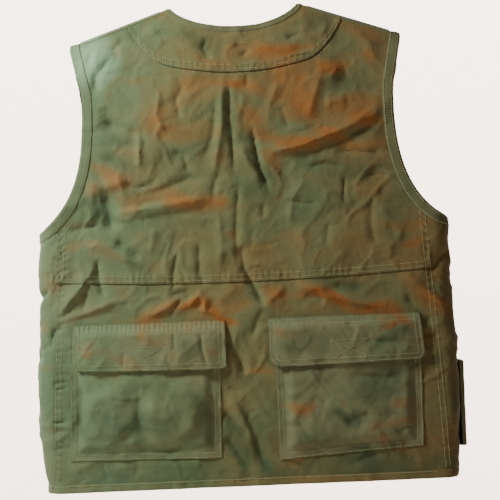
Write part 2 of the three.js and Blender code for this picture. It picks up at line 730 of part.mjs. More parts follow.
const finish = (colour, roughness, metalness = 0) =>
  new THREE.MeshStandardMaterial({ color: colour, roughness, metalness, side: THREE.DoubleSide });
const twill = finish(0x6f6a4a, 0.9);
const shellTwill = finish(0x747050, 0.9);
const bindingTwill = finish(0x68633f, 0.88);
const hookTape = finish(0x54513c, 0.95);
const zipTape = finish(0x4d4a38, 0.85);
const brass = finish(0x8c7a4a, 0.4, 0.9);
const plastic = finish(0x2e2c25, 0.5);

const vest = new THREE.Group();
const garment = new THREE.Group();
vest.add(garment);

function addMesh(group, name, body, material) {
  const mesh = new THREE.Mesh(geometryOf(body), material);
  mesh.name = name;
  group.add(mesh);
}

function materialFor(name) {
  if (name.includes("patch")) return hookTape;
  if (name.includes("binding") || name.includes("shoulder_tape")) return bindingTwill;
  if (name.includes("zip_tape")) return zipTape;
  if (name.includes("stop")) return brass;
  return name.includes("pocket") || name.includes("flap") ? shellTwill : twill;
}

for (const [name, body] of Object.entries(backPanels())) addMesh(garment, name, body, twill);
const neckBinding = ribbon(neckStations(), [-BINDING.neck, 0], [-CLOTH - BINDING.proud, BINDING.proud]);
addMesh(garment, "back_neck_binding", neckBinding, bindingTwill);
addMesh(garment, "hang_loop", hangLoop(), bindingTwill);

// Each half of the vest is drawn once, on the wearer's left, and mirrored for the right.
for (const [side, turn] of [["left", 1], ["right", -1]]) {
  const half = new THREE.Group();
  half.scale.x = turn;
  garment.add(half);
  const sewn = {
    [`shoulder_tape_${side}`]: shoulderTape(0),
    [`armhole_binding_${side}`]: armholeBinding(),
    [`side_panel_${side}`]: sidePanel(),
  };
  for (const [name, body] of Object.entries(sewn)) addMesh(half, name, body, materialFor(name));

  const back = new THREE.Group();
  back.position.y = BACK_Y;
  half.add(back);
  for (const [name, body] of Object.entries(pocketPieces("back", BACK_POCKET))) {
    addMesh(back, `${name}_${side}`, body, materialFor(name));
  }
  for (const [name, body] of Object.entries(frontPieces())) {
    addMesh(half, `${name}_${side}`, onFront(body), materialFor(name));
  }
  if (side === "left") {
    addMesh(half, "zip_retainer_box", onFront(zipRetainer()), plastic);
    addMesh(half, "zip_slider", onFront(zipSlider()), brass);
    addMesh(half, "zip_pull", onFront(zipPull()), brass);
  } else {
    addMesh(half, "zip_pin", onFront(zipPin()), plastic);
    addMesh(half, "side_pocket_right", sidePocket(), shellTwill);
  }
}

// The origin is the point in the loop where a hook carries the vest.
garment.position.set(0, HANG_LOOP.bow / 2 - hangLoopSeat, -HANG_LOOP.height);

export default vest;
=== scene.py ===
"""The looks of a hanging fishing vest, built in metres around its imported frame.

Cloth is cut flat in pattern millimetres (across, height above the hem), laid on curved shells that carry the
wrinkles, and sewn with real stitches. The wearer's left is +X, the back faces +Y, the front faces -Y.
"""

import logging
import math
from collections.abc import Callable, Sequence
from dataclasses import dataclass, field
from enum import Enum

import bmesh
import bpy
import numpy as np
from mathutils import Matrix, Vector


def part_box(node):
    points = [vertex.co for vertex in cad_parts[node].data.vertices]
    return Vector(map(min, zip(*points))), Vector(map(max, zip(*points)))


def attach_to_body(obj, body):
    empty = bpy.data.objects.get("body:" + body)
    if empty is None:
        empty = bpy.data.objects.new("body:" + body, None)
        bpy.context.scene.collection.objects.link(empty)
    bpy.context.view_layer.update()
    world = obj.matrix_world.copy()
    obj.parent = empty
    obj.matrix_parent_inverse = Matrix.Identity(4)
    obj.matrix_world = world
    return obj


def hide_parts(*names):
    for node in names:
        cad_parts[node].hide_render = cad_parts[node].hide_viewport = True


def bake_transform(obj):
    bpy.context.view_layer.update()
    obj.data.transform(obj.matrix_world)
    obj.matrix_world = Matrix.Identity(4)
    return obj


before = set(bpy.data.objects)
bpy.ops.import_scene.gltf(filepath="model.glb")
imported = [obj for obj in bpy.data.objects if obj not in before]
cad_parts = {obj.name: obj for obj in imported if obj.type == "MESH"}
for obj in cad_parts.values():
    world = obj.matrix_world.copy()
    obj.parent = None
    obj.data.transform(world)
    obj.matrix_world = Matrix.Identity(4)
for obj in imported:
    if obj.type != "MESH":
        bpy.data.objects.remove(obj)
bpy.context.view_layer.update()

LOG = logging.getLogger("vest")
MM = 0.001
Array = np.ndarray
Place = Callable[[Array, Array], tuple[Array, Array, Array]]


# ---- Helpers for numbers ----------------------------------------------------------------------


def smooth(share: Array | float) -> Array:
    """Eases a share from 0 to 1 with no slope at its ends."""
    t = np.clip(share, 0.0, 1.0)
    return t * t * (3.0 - 2.0 * t)


def catmull(points: Sequence[tuple[float, float]], steps: int) -> Array:
    """Runs a soft curve through points.

    Args:
        points: The points that the curve passes.
        steps: How many steps it takes between two of them.
    Returns:
        The points of the curve, one row each.
    """
    pts = np.array(points, float)
    last = len(pts) - 1
    out = []
    for i in range(last):
        p0, p1, p2, p3 = pts[max(i - 1, 0)], pts[i], pts[i + 1], pts[min(i + 2, last)]
        for t in np.linspace(0.0, 1.0, steps, endpoint=False):
            m1, m2 = (p2 - p0) / 2.0, (p3 - p1) / 2.0
            t2, t3 = t * t, t * t * t
            out.append((2 * t3 - 3 * t2 + 1) * p1 + (t3 - 2 * t2 + t) * m1 + (3 * t2 - 2 * t3) * p2 + (t3 - t2) * m2)
    out.append(pts[-1])
    return np.array(out)


def bezier(handles: Sequence[tuple[float, float]], count: int) -> Array:
    """Points of a quadratic or cubic curve.

    Args:
        handles: Three or four control points.
        count: How many points to give.
    Returns:
        The points, one row each.
    """
    pts = np.array(handles, float)
    degree = len(pts) - 1
    t = np.linspace(0.0, 1.0, count)[:, None]
    return sum(math.comb(degree, i) * (1 - t) ** (degree - i) * t**i * pts[i] for i in range(degree + 1))


def resample(points: Array, count: int) -> Array:
    """Spreads points evenly along a line.

    Args:
        points: The line, one row a point.
        count: How many points to give.
    Returns:
        The even points.
    """
    reach = np.concatenate([[0.0], np.cumsum(np.linalg.norm(np.diff(points, axis=0), axis=1))])
    at = np.linspace(0.0, reach[-1], count)
    return np.stack([np.interp(at, reach, points[:, k]) for k in range(points.shape[1])], axis=1)


def lattice_noise(x: Array, y: Array, seed: float) -> Array:
    """Smooth random relief, about -1 to 1, with hills one unit apart.

    Args:
        x: First coordinate.
        y: Second coordinate.
        seed: Which relief.
    Returns:
        The relief at each point.
    """
    xi, yi = np.floor(x), np.floor(y)

    def corner(a: Array, b: Array) -> Array:
        """The pull of one corner of the cell."""
        turn = np.sin(a * 127.1 + b * 311.7 + seed * 74.7) * 43758.5453
        angle = 2 * math.pi * (turn - np.floor(turn))
        return np.cos(angle) * (x - a) + np.sin(angle) * (y - b)

    u, v = smooth(x - xi), smooth(y - yi)
    low = corner(xi, yi) * (1 - u) + corner(xi + 1, yi) * u
    high = corner(xi, yi + 1) * (1 - u) + corner(xi + 1, yi + 1) * u
    return 1.6 * (low * (1 - v) + high * v)


def clustered(length: float, lip: float, step: float, turns: int = 5) -> Array:
    """Stations across a pocket, crowded where its cloth turns up at both ends.

    Args:
        length: The whole width.
        lip: The width of each crowded end.
        step: The spacing between them.
        turns: How many stations an end takes.
    Returns:
        The stations from 0 to length.
    """
    end = lip * (1 - np.cos(np.linspace(0, math.pi / 2, turns + 1)))
    middle = np.linspace(lip, length - lip, max(int((length - 2 * lip) / step), 2) + 1)[1:-1]
    return np.concatenate([end, middle, (length - end)[::-1]])


# ---- The pattern and the shells that cloth is laid on -------------------------------------------


@dataclass(frozen=True)
class Pattern:
    """Sizes of the cut cloth in millimetres: out from the centre line, and up from the hem."""

    neck_half: float = 93.0
    neck_height: float = 655.0
    neck_handle: tuple[float, float] = (57.7, 613.1)
    shoulder_half: float = 228.0
    shoulder_drop: float = 46.5
    shoulder_roll: float = 140.0
    armpit: tuple[float, float] = (280.5, 356.0)
    armhole_back: tuple[tuple[float, float], ...] = ((214.0, 544.5), (211.0, 480.0), (214.0, 395.0))
    armhole_front: tuple[tuple[float, float], ...] = ((215.0, 544.5), (214.0, 480.0), (217.0, 395.0))
    side: tuple[tuple[float, float], ...] = ((283.0, 0.0), (289.0, 65.0), (291.0, 130.0), (285.75, 243.0),
        (280.5, 356.0))
    seam_top: tuple[float, float] = (252.0, 380.0)
    seam: tuple[tuple[float, float], ...] = ((0.0, 275.0), (130.0, 268.0), (240.0, 261.0), (350.0, 253.0),
        (380.0, 252.0))
    back_y: float = 30.0
    ridge_y: float = 4.0
    fold_top: tuple[float, float, float] = (95.0, -6.0, 650.0)
    fold_hem: tuple[float, float, float] = (258.0, -16.0, 0.0)
    front_bottom: tuple[float, float] = (5.0, -52.0)
    zip_edge: float = 11.0
    front_neck: tuple[tuple[float, float], ...] = ((91.0, 644.0), (51.0, 532.0), (11.0, 480.0))
    yoke: tuple[tuple[float, float], ...] = ((159.0, 663.6), (147.0, 635.2), (127.0, 605.1), (100.0, 583.6),
        (46.5, 572.0))
    yoke_centre: float = 569.0
    waist: tuple[float, float] = (281.0, 8.0)
    hem_band: float = 10.0

    def shoulder(self, x: Array) -> Array:
        """Height of the shoulder line."""
        slope = self.shoulder_drop / (self.shoulder_half - self.neck_half)
        return self.neck_height - np.maximum(np.abs(x) - self.neck_half, 0.0) * slope

    def fold_x(self, z: Array) -> Array:
        """Where a front's fold line crosses a height."""
        return self.fold_hem[0] + (self.fold_top[0] - self.fold_hem[0]) * z / self.fold_top[2]

    def side_y(self, z: Array) -> Array:
        """How far forward the flat side cloth lies at a height."""
        return self.fold_hem[1] + (self.fold_top[1] - self.fold_hem[1]) * z / self.fold_top[2]

    def side_half(self, z: Array) -> Array:
        """Half the width of the garment at a height."""
        curve = catmull(self.side, 10)
        return np.interp(z, curve[:, 1], curve[:, 0])

    def waist_at(self, x: Array) -> Array:
        """Height of the seam across the back, which sags a little at its middle."""
        return self.waist[0] + self.waist[1] * (np.asarray(x) / 250.0) ** 2

    def seam_x(self, z: Array) -> Array:
        """Where the side seam crosses a height, along the cloth of the back."""
        return np.interp(z, [row[0] for row in self.seam], [row[1] for row in self.seam])

    def edge(self, z: Array) -> tuple[Array, Array]:
        """Radius and centre of the round edge between front and back at a height."""
        radius = (self.back_y - self.side_y(z)) / 2.0
        return radius, self.side_half(z) - radius

    def yoke_line(self) -> Array:
        """The yoke seam from the wearer's left to right, ended where it meets the shoulders."""
        right = [(-x, z) for x, z in reversed(self.yoke)]
        line = catmull([*self.yoke, (0.0, self.yoke_centre), *right], 8)
        return line[line[:, 1] < self.shoulder(line[:, 0]) + 2.0]

    def back_neck(self, count: int) -> Array:
        """The back neck edge from the wearer's left to right."""
        hx, hz = self.neck_handle
        tip = (self.neck_half, self.neck_height)
        return bezier([tip, (hx, hz), (-hx, hz), (-tip[0], tip[1])], count)

    def armhole(self, handles: Sequence[tuple[float, float]], count: int) -> Array:
        """An armhole edge from the shoulder tip down to the armpit."""
        tip = np.array([[self.shoulder_half, self.neck_height - self.shoulder_drop]])
        return resample(np.concatenate([tip, bezier([*handles, self.armpit], 400)]), count)


PATTERN = Pattern()
_high_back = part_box("back_lower_panel")[1]
ORIGIN = np.array([0.0, PATTERN.back_y - _high_back.y / MM, -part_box("back_hem_band")[0].z / MM])


@dataclass(frozen=True)
class Fold:
    """One wrinkle: a line on the cloth with a height, a width and a tint. A positive tint is rust, partly the
    two-tone cloth and partly painted warm light and sheen; a negative tint is dark green, mostly painted shade along
    creases.

    A crisp fold is narrower on the right of its line (+) or on the left (-).
    """

    path: tuple[tuple[float, float], ...]
    height: float
    width: float = 5.0
    crisp: float = 0.0
    tint: float = 0.0

    def measure(self, x: Array, z: Array) -> tuple[Array, Array]:
        """Relief and tint of this fold.

        Args:
            x: Across the cloth, in millimetres.
            z: Up the cloth, in millimetres.
        Returns:
            The relief in millimetres and the tint.
        """
        height, tint = np.zeros_like(x), np.zeros_like(x)
        line = np.array(self.path, float)
        reach = self.width * 3.2
        low, high = line.min(0) - reach, line.max(0) + reach
        near = np.nonzero((x > low[0]) & (x < high[0]) & (z > low[1]) & (z < high[1]))
        if not len(near[0]):
            return height, tint
        px, pz = x[near], z[near]
        lengths = np.linalg.norm(np.diff(line, axis=0), axis=1)
        total = lengths.sum()
        best = np.full(px.shape, 1e9)
        side, along = np.zeros_like(px), np.zeros_like(px)
        done = 0.0
        for (x0, z0), (x1, z1), length in zip(line[:-1], line[1:], lengths):
            dx, dz = (x1 - x0) / length, (z1 - z0) / length
            t = np.clip((px - x0) * dx + (pz - z0) * dz, 0.0, length)
            off = np.hypot(px - x0 - t * dx, pz - z0 - t * dz)
            closer = off < best
            best = np.where(closer, off, best)
            side = np.where(closer, np.sign(dx * (pz - z0) - dz * (px - x0)), side)
            along = np.where(closer, (done + t) / total, along)
            done += length
        width = self.width * np.where(side > 0, 1.0 + self.crisp, 1.0 - self.crisp)
        taper = smooth(along / 0.25) * smooth((1.0 - along) / 0.25)
        height[near] = self.height * np.exp(-((best / width) ** 1.35)) * taper
        tint[near] = self.tint * np.exp(-((best / (width * 1.5)) ** 2)) * np.sqrt(taper)
        return height, tint


@dataclass(frozen=True)
class Tint:
    """A soft patch of tint, rust where positive and dark green where negative: partly the two-tone cloth, partly
    painted warm light and painted shade.
    """

    x: float
    z: float
    wide: float
    high: float
    lean: float  # degrees, anticlockwise on the cloth
    tint: float

    def measure(self, x: Array, z: Array) -> Array:
        """The patch's tint.

        Args:
            x: Across the cloth, in millimetres.
            z: Up the cloth, in millimetres.
        Returns:
            The tint.
        """
        c, s = math.cos(math.radians(self.lean)), math.sin(math.radians(self.lean))
        along = ((x - self.x) * c + (z - self.z) * s) / self.wide
        over = ((z - self.z) * c - (x - self.x) * s) / self.high
        return self.tint * smooth(1.35 - np.sqrt(along**2 + over**2))


def tints(rows: Sequence[tuple[float, ...]]) -> tuple[Tint, ...]:
    """Patches from rows of place, half sizes, lean and tint."""
    return tuple(Tint(*row) for row in rows)


@dataclass(frozen=True)
class Relief:
    """All the wrinkles of one cloth: its folds, and soft waves of two sizes."""

    folds: tuple[Fold, ...] = ()
    waves: tuple[tuple[float, float], ...] = ((95.0, 3.0), (42.0, 2.0), (19.0, 0.7), (9.0, 0.2))
    creases: tuple[tuple[float, float], ...] = ((52.0, 1.7), (27.0, 0.9))
    tints: tuple[Tint, ...] = ()
    patchy: float = 0.45
    seed: float = 1.0

    def measure(self, x: Array, z: Array) -> tuple[Array, Array]:
        """Relief and tint.

        Args:
            x: Across the cloth, in millimetres.
            z: Up the cloth, in millimetres.
        Returns:
            The relief in millimetres and the tint.
        """
        height, tint = np.zeros_like(x), np.zeros_like(x)
        drift_x = x + 14.0 * lattice_noise(x / 60, z / 60, self.seed + 0.5)
        drift_z = z + 14.0 * lattice_noise(x / 60, z / 60, self.seed + 0.7)
        for size, rise in self.waves:
            wave = lattice_noise(drift_x / size, drift_z / size, self.seed + size)
            height += rise * wave
        for size, rise in self.creases:
            bend = lattice_noise(drift_x / size, drift_z / (size * 0.8), self.seed - size)
            height += rise * (1.0 - np.minimum(np.abs(bend) * 4.0, 1.0)) * smooth(0.5 + lattice_noise(x / 70,
                z / 70, size))
        patch = lattice_noise(drift_x / 42, drift_z / 26, self.seed + 9.0) + 0.6 * lattice_noise(drift_x / 17,
            drift_z / 12, self.seed + 3.0)
        tint += self.patchy * patch
        for spot in self.tints:
            tint += spot.measure(drift_x, drift_z)
        for fold in self.folds:
            h, t = fold.measure(x, z)
            height += h
            tint += t
        return height, tint


def folds(rows: Sequence[tuple]) -> tuple[Fold, ...]:
    """Folds from rows of path, height, width, crisp and tint, the last three of which may be left out."""
    return tuple(Fold(*row) for row in rows)


# The wearer's left is positive. Ridges are positive, valleys and creases negative.
# A fold's tint paints shade along its creases (-) and warm light and sheen on its ridges (+), on top of the cloth's
# two tones.
BACK_FOLDS = folds([
    # the pleat that hangs from the middle of the yoke
    (((16, 567), (21, 532), (24, 489), (38, 420)), 4.5, 7, 0, 0.25),
    (((9, 562), (13, 506), (9, 471), (8, 418)), -4, 3.5, 0, -0.4),
    (((27, 540), (35, 481), (50, 446)), -3, 4.5, 0, -0.35),
    (((38, 618), (44, 602), (34, 584)), -3.5, 4, 0, -0.6),
    (((86, 636), (60, 612), (30, 606)), 3, 9, 0, -0.3),
    (((4, 610), (-16, 598), (-8, 584)), -3, 5, 0, -0.2),
    (((-24, 612), (-48, 598), (-92, 590)), 3.5, 7, 0, 0.5),
    (((-96, 622), (-70, 610)), -2.5, 6, 0, -0.4),
    (((-132, 638), (-116, 606)), 2.5, 8, 0, 0.2),
    (((120, 640), (96, 606)), 2.5, 9, 0, -0.2),
    (((150, 626), (168, 606), (160, 588)), -4, 6, 0, 0.4),
    (((-160, 632), (-184, 600), (-196, 570)), 3, 8, 0, 0.4),
    (((70, 560), (84, 530), (78, 500)), -2.5, 4, 0, 0),
    (((104, 552), (112, 512), (100, 484)), 2.5, 5, 0, 0.2),
    (((-60, 556), (-44, 520), (-40, 490)), 2.5, 6, 0, 0.2),
    (((-58, 520), (-70, 486)), -2.5, 4, 0, 0),
    (((-90, 420), (-70, 390), (-64, 350)), 2.5, 5),
    (((-180, 400), (-176, 350), (-184, 310)), -2.5, 5, 0, -0.2),
    (((-120, 360), (-112, 320)), -2.5, 5, 0, -0.2),
    (((120, 360), (128, 318)), 2.5, 7),
    (((32, 380), (30, 330), (34, 292)), 2.5, 6),
    (((28, 437), (38, 406), (37, 388)), -3, 5, 0, -0.2),
    (((-15, 566), (-14, 544)), -3, 3),
    (((-18, 495), (-28, 434), (-41, 399)), -7, 4, 0.4, -0.5),
    (((-1, 470), (-12, 440), (-34, 414)), 4, 6, 0, 0.1),
    (((-30, 385), (-29, 364)), -3, 4),
    (((4, 409), (9, 350), (9, 295)), -2.5, 4),
    (((15, 412), (3, 409), (5, 383)), -2, 3),
    # the ridge that runs in from the right armhole, and what lies round it
    (((-206, 510), (-174, 495), (-137, 480), (-110, 471), (-75, 459), (-48, 456), (-34, 436)), 8, 8, 0.2, 1.1),
    (((-190, 490), (-137, 464), (-80, 444)), -3.5, 8, 0, -0.4),
    (((-130, 558), (-165, 545), (-200, 526)), -5, 13, 0, -0.7),
    (((-116, 560), (-102, 519), (-94, 495)), 3.5, 8, 0, 0.8),
    (((-105, 562), (-130, 566), (-155, 562)), 2.5, 7, 0, 0.7),
    (((-118, 521), (-152, 520)), 2.5, 9, 0, 0.7),
    (((-91, 432), (-118, 437), (-144, 431)), -3.5, 4, 0, -0.2),
    (((-128, 453), (-150, 452), (-198, 448)), -4.5, 4, 0, -0.5),
    (((-143, 421), (-140, 377)), -2.8, 3),
    (((-168, 420), (-204, 417)), -2.2, 3),
    (((-58, 389), (-82, 384), (-108, 380)), -3.8, 4),
    (((-150, 400), (-195, 396)), 3, 8, 0, 0.4),
    # the left shoulder blade
    (((197, 540), (194, 569), (168, 600)), -5.5, 6, 0.3, -0.5),
    (((203, 594), (168, 582)), 3, 12, 0, -0.35),
    (((194, 508), (147, 491), (120, 477)), -5.5, 9, 0, -0.7),
    (((93, 463), (77, 455), (70, 430)), -3.5, 4, 0, -0.3),
    (((184, 530), (171, 490)), -3, 10, 0, -0.5),
    (((136, 496), (138, 435)), 3.5, 5, 0, 0.3),
    (((216, 415), (185, 417), (152, 424)), 4.5, 9, 0, 1.0),
    (((192, 414), (184, 391), (177, 350)), -7, 10, 0, -0.6),
    (((178, 378), (101, 389), (60, 395), (36, 392)), 6.5, 10, 0.55, 0.8),
    (((175, 366), (101, 374), (50, 381)), -2.5, 6, 0, -0.5),
    (((152, 402), (110, 408), (67, 424), (41, 416)), -3, 6, 0, -0.3),
    (((240, 360), (192, 365)), -3.2, 4),
    (((162, 421), (140, 413), (110, 421)), -3.2, 4),
    (((60, 340), (62, 295), (54, 270)), -4.5, 6, 0, -0.35),
    (((89, 330), (97, 296), (100, 265)), -3.2, 3),
    (((4, 330), (-1, 288)), -4, 5, 0, -0.2),
    # under the waist seam on the left
    (((201, 322), (200, 288), (192, 262)), -5, 5, 0, -0.45),
    (((220, 334), (200, 338), (179, 326), (153, 312), (136, 304)), 5, 5, 0.2, 0.9),
    (((176, 344), (158, 329), (140, 314)), -4.5, 6, 0, -0.6),
    (((202, 314), (222, 282), (241, 261), (262, 236)), 6, 6, 0.4, -0.35),
    (((212, 310), (218, 280), (224, 243)), -3.5, 3.5),
    (((262, 232), (224, 243), (191, 254), (170, 263)), 4, 6, 0, 0.7),
    (((142, 229), (110, 249), (84, 261)), 5, 8, 0.4, 0.8),
    (((84, 262), (99, 246), (107, 227)), -4, 3.5, 0, -0.2),
    (((105, 264), (81, 268), (78, 254)), -3.5, 4, 0, -0.5),
    (((90, 242), (73, 254), (63, 263), (55, 255), (56, 242), (45, 235), (30, 230), (14, 220)), 6, 5, 0, 1.2),
    (((40, 248), (8, 277)), 3.5, 9, 0, 0.7),
    # between the pockets
    (((30, 205), (10, 170), (4, 145)), -4.5, 4, 0, -0.2),
    (((42, 110), (23, 88), (0, 62)), -5.5, 5, 0.4, -0.3),
    (((38, 70), (20, 46), (2, 18)), -5, 5, 0, -0.3),
    (((28, 136), (12, 127)), -2.5, 3),
    (((3, 302), (-12, 274), (-28, 240)), -7, 4, 0.35, -0.4),
    (((-28, 244), (-14, 221), (-6, 200)), -3.5, 4, 0, -0.2),
    (((10, 112), (-2, 75), (-11, 45), (-26, 13)), -5.5, 6, 0, -0.4),
    (((-25, 194), (-23, 175), (-11, 156), (12, 153)), 2, 2, 0, 0.4),
    (((6, 228), (24, 182), (15, 138)), 4.5, 9, 0, 0.1),
    (((28, 128), (12, 95), (-8, 56)), 4.5, 8, 0, 0.1),
    # under the waist seam on the right
    (((-64, 260), (-81, 269), (-102, 264), (-112, 255), (-139, 249), (-170, 238), (-197, 231)), 6, 6, 0, 1.2),
    (((-26, 246), (-43, 260), (-56, 272)), 3.5, 6, 0, 0.8),
    (((-40, 234), (-63, 239)), 2, 4, 0, 0.5),
    (((-80, 259), (-110, 246)), -3.8, 4, 0, -0.5),
    (((-118, 268), (-165, 262)), -2.5, 7, 0, -0.5),
    (((-210, 284), (-241, 264), (-263, 244), (-277, 232)), 5, 6, 0, 0.9),
    (((-217, 254), (-229, 239), (-243, 220), (-260, 209)), -5.5, 5, 0, -0.4),
    (((-250, 280), (-269, 298), (-286, 313)), -5.5, 5, 0, -0.3),
    (((-227, 129), (-254, 138), (-269, 149), (-291, 160)), 1.8, 2),
    (((-245, 200), (-262, 192)), -2.5, 4),
    # puckers on the strips beside and below the pockets
    (((246, 152), (272, 149)), -2.2, 2.5),
    (((246, 144), (266, 141)), -1.8, 2.2),
    (((246, 98), (274, 96)), -2.8, 2.5),
    (((246, 85), (272, 84)), -2.8, 2.5),
    (((248, 60), (268, 62)), -1.8, 2.5),
    (((246, 232), (262, 222), (270, 205)), -3.5, 5, 0, -0.3),
    (((262, 205), (286, 196)), -2.5, 4),
    (((160, 38), (157, 18)), -1.8, 3),
    (((208, 38), (196, 14)), -1.8, 3),
    (((100, 34), (92, 16)), -2, 3),
    (((-56, 31), (-88, 15)), -2.5, 4),
    (((-130, 22), (-178, 37)), -2.8, 4),
    (((-200, 40), (-230, 22)), -2, 4),
    # nicks in the outline of the sides
    (((312, 262), (286, 270), (266, 277)), -7, 7),
    (((310, 180), (280, 188)), -3, 6),
    (((-312, 156), (-290, 152)), -3, 5),
    (((-310, 262), (-284, 258)), 2, 8),
])
# Patches of rust (+) and dark green (-): partly the two-tone cloth, partly painted warm light and painted shade; the
# cloth is painted darker towards the hem.
BACK_TINTS = tints([
    # yoke and shoulders
    (-20, 545, 190, 65, 0, 0.5), (0, 90, 300, 110, 0, -0.35), (-60, 590, 45, 12, 0, 1.0),
    (-20, 600, 40, 10, 0, 0.8), (55, 612, 40, 14, 20, -0.7), (-110, 635, 35, 16, 0, -0.6),
    (-170, 620, 30, 12, 25, 0.8), (-190, 580, 20, 8, 60, 0.8), (-175, 592, 24, 10, 0, -0.5),
    (125, 618, 30, 14, 40, -0.5),
    (30, 592, 30, 10, 10, 0.6), (150, 585, 40, 20, 0, -0.5), (100, 650, 20, 8, 0, 0.6),
    # the upper back, rust-brown across its middle, partly painted warm light
    (40, 555, 60, 14, 0, 0.8), (-20, 555, 50, 16, 0, 0.8), (-80, 535, 45, 28, 60, 1.0),
    (-130, 566, 35, 10, 0, 1.3),
    (-160, 523, 40, 14, 0, 1.1), (-28, 495, 35, 24, 50, 0.9), (100, 500, 55, 28, 15, 0.9),
    (-140, 545, 26, 14, 0, -0.9),
    (-80, 462, 40, 13, 12, 1.3), (-130, 475, 35, 12, 22, 1.4), (-175, 495, 35, 9, 25, 1.6),
    (-175, 462, 28, 9, 0, 1.1),
    (-175, 477, 26, 7, 0, -0.8), (170, 482, 34, 14, 0, -1.1), (168, 450, 26, 13, 0, -1.0),
    (176, 430, 36, 10, 5, 0.9),
    (78, 458, 45, 12, 0, -0.7), (20, 500, 16, 28, 0, -0.7), (-42, 440, 24, 12, 60, 1.0),
    (105, 398, 75, 15, 10, 1.2),
    (40, 396, 18, 10, 0, 1.2), (194, 384, 16, 28, 20, -0.8), (95, 365, 60, 20, 0, -0.5),
    (-140, 430, 70, 16, 0, -0.8),
    (-115, 382, 50, 16, 0, -0.7), (-10, 420, 35, 24, 0, -0.6), (-220, 400, 14, 45, 25, -0.6),
    (-235, 348, 45, 10, 0, 1.0),
    (-230, 322, 24, 7, 0, 1.4), (-200, 336, 30, 9, 0, -0.6), (215, 366, 34, 6, 0, 0.6),
    (215, 334, 26, 8, 0, 0.7),
    (10, 345, 20, 8, 0, 0.8), (-75, 336, 20, 12, 20, 0.6),
    # below the waist seam, and the strips beside the pockets
    (125, 240, 45, 12, 165, 0.9), (70, 252, 24, 8, 150, 1.1), (44, 245, 18, 9, 60, 1.2),
    (22, 228, 24, 8, 20, 1.3),
    (14, 248, 22, 8, 0, 0.9), (-40, 258, 22, 9, 10, 1.0), (-95, 262, 34, 10, 175, 1.4),
    (-135, 250, 30, 10, 25, 1.4),
    (-178, 238, 30, 8, 15, 1.4), (-205, 222, 24, 7, 15, 1.2), (-150, 267, 44, 9, 5, -0.8),
    (-80, 258, 18, 18, 0, -0.5),
    (-248, 244, 36, 12, 20, 0.9), (-270, 282, 14, 16, 0, 0.7), (272, 284, 20, 14, 30, 1.1),
    (282, 228, 14, 9, 0, 1.0),
    (276, 166, 18, 5, 0, 1.1), (-14, 158, 24, 6, 0, 0.9), (282, 130, 14, 34, 0, -0.7),
    (250, 150, 10, 80, 0, -0.5),
    (20, 62, 16, 50, -15, -0.8), (-16, 50, 18, 40, -15, -0.8), (150, 22, 130, 20, 0, -1.1),
    (-150, 18, 140, 22, 0, -1.4),
    (-250, 158, 14, 16, 0, -0.9), (-276, 103, 12, 8, 0, -1.1), (-266, 60, 18, 22, 0, 0.5),
    (150, 312, 20, 14, 0, -0.6),
])
# Front folds tint the cloth as the back's do: rust with painted warm light on ridges, painted shade in creases.
FRONT_FOLDS = folds([
    (((206, 470), (160, 430), (120, 350)), 5, 11, 0, 0.7),
    (((214, 440), (176, 400), (150, 300)), -5, 9, 0, -0.5),
    (((190, 330), (120, 285), (40, 270)), 5, 9, 0.3, 0.8),
    (((196, 300), (120, 262), (46, 248)), -4, 7, 0, -0.4),
    (((60, 612), (78, 540), (70, 450)), -4, 9, 0, -0.4),
    (((130, 600), (150, 520), (176, 470)), 4, 10, 0, 0.4),
    (((28, 300), (22, 200), (26, 60)), 2.5, 7),
    (((212, 220), (204, 120), (214, 20)), -4.5, 8, 0, -0.3),
    (((236, 240), (232, 120), (240, 14)), 4, 9, 0, 0.2),
    (((120, 30), (100, 12)), -2, 5),
    (((180, 560), (196, 500), (206, 452)), -3.5, 7, 0, -0.3),
])


def span(node: str) -> tuple[float, float, float, float]:
    """A node's outline on the pattern.

    Args:
        node: A frame node.
    Returns:
        Its near and far distances from the centre line, and its low and high heights above the hem.
    """
    low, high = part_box(node)
    near, far = sorted((abs(low.x) / MM, abs(high.x) / MM))
    return near, far, low.z / MM + ORIGIN[2], high.z / MM + ORIGIN[2]


class Shell:
    """A curved skin that cloth is laid on, with the outer face at lift 0."""

    def __init__(self, side: int, kinds: Sequence[str]) -> None:
        """Sets the side and finds the flap seams, which hold the cloth flat."""
        self.side = side
        self.seams = [span(f"{kind}_flap_left") for kind in kinds]

    def held(self, p: Array, z: Array) -> Array:
        """How freely the cloth may rise: 1, and near 0 along a flap's seam."""
        free = np.ones_like(p * z)
        for near, far, _, top in self.seams:
            beyond = np.maximum(np.maximum(near - 4.0 - np.abs(p), np.abs(p) - far - 4.0), 0.0)
            free *= 1.0 - 0.85 * smooth(1.3 - np.hypot(beyond, z - top) / 13.0)
        return free

    def base(self, p: Array, z: Array) -> Array:
        """The bare shell."""
        raise NotImplementedError

    def wrinkles(self, p: Array, z: Array) -> tuple[Array, Array]:
        """Relief and tint of the cloth on the shell."""
        raise NotImplementedError

    def normal(self, p: Array, z: Array) -> Array:
        """The direction out of the bare shell.

        Args:
            p: Across, in millimetres.
            z: Up, in millimetres.
        Returns:
            Unit vectors.
        """
        e = 0.6
        across = self.base(p + e, z) - self.base(p - e, z)
        up = self.base(p, z + e) - self.base(p, z - e)
        out = np.cross(across, up) * self.turn
        return out / np.maximum(np.linalg.norm(out, axis=-1, keepdims=True), 1e-9)

    @property
    def turn(self) -> int:
        """1 where across and up turn outwards, -1 where they turn inwards."""
        raise NotImplementedError

    def at(self, p: Array, z: Array, lift: Array | float) -> Array:
        """Points at a lift above the wrinkled cloth."""
        rise = self.wrinkles(p, z)[0] + lift
        return self.base(p, z) + self.normal(p, z) * rise[..., None]


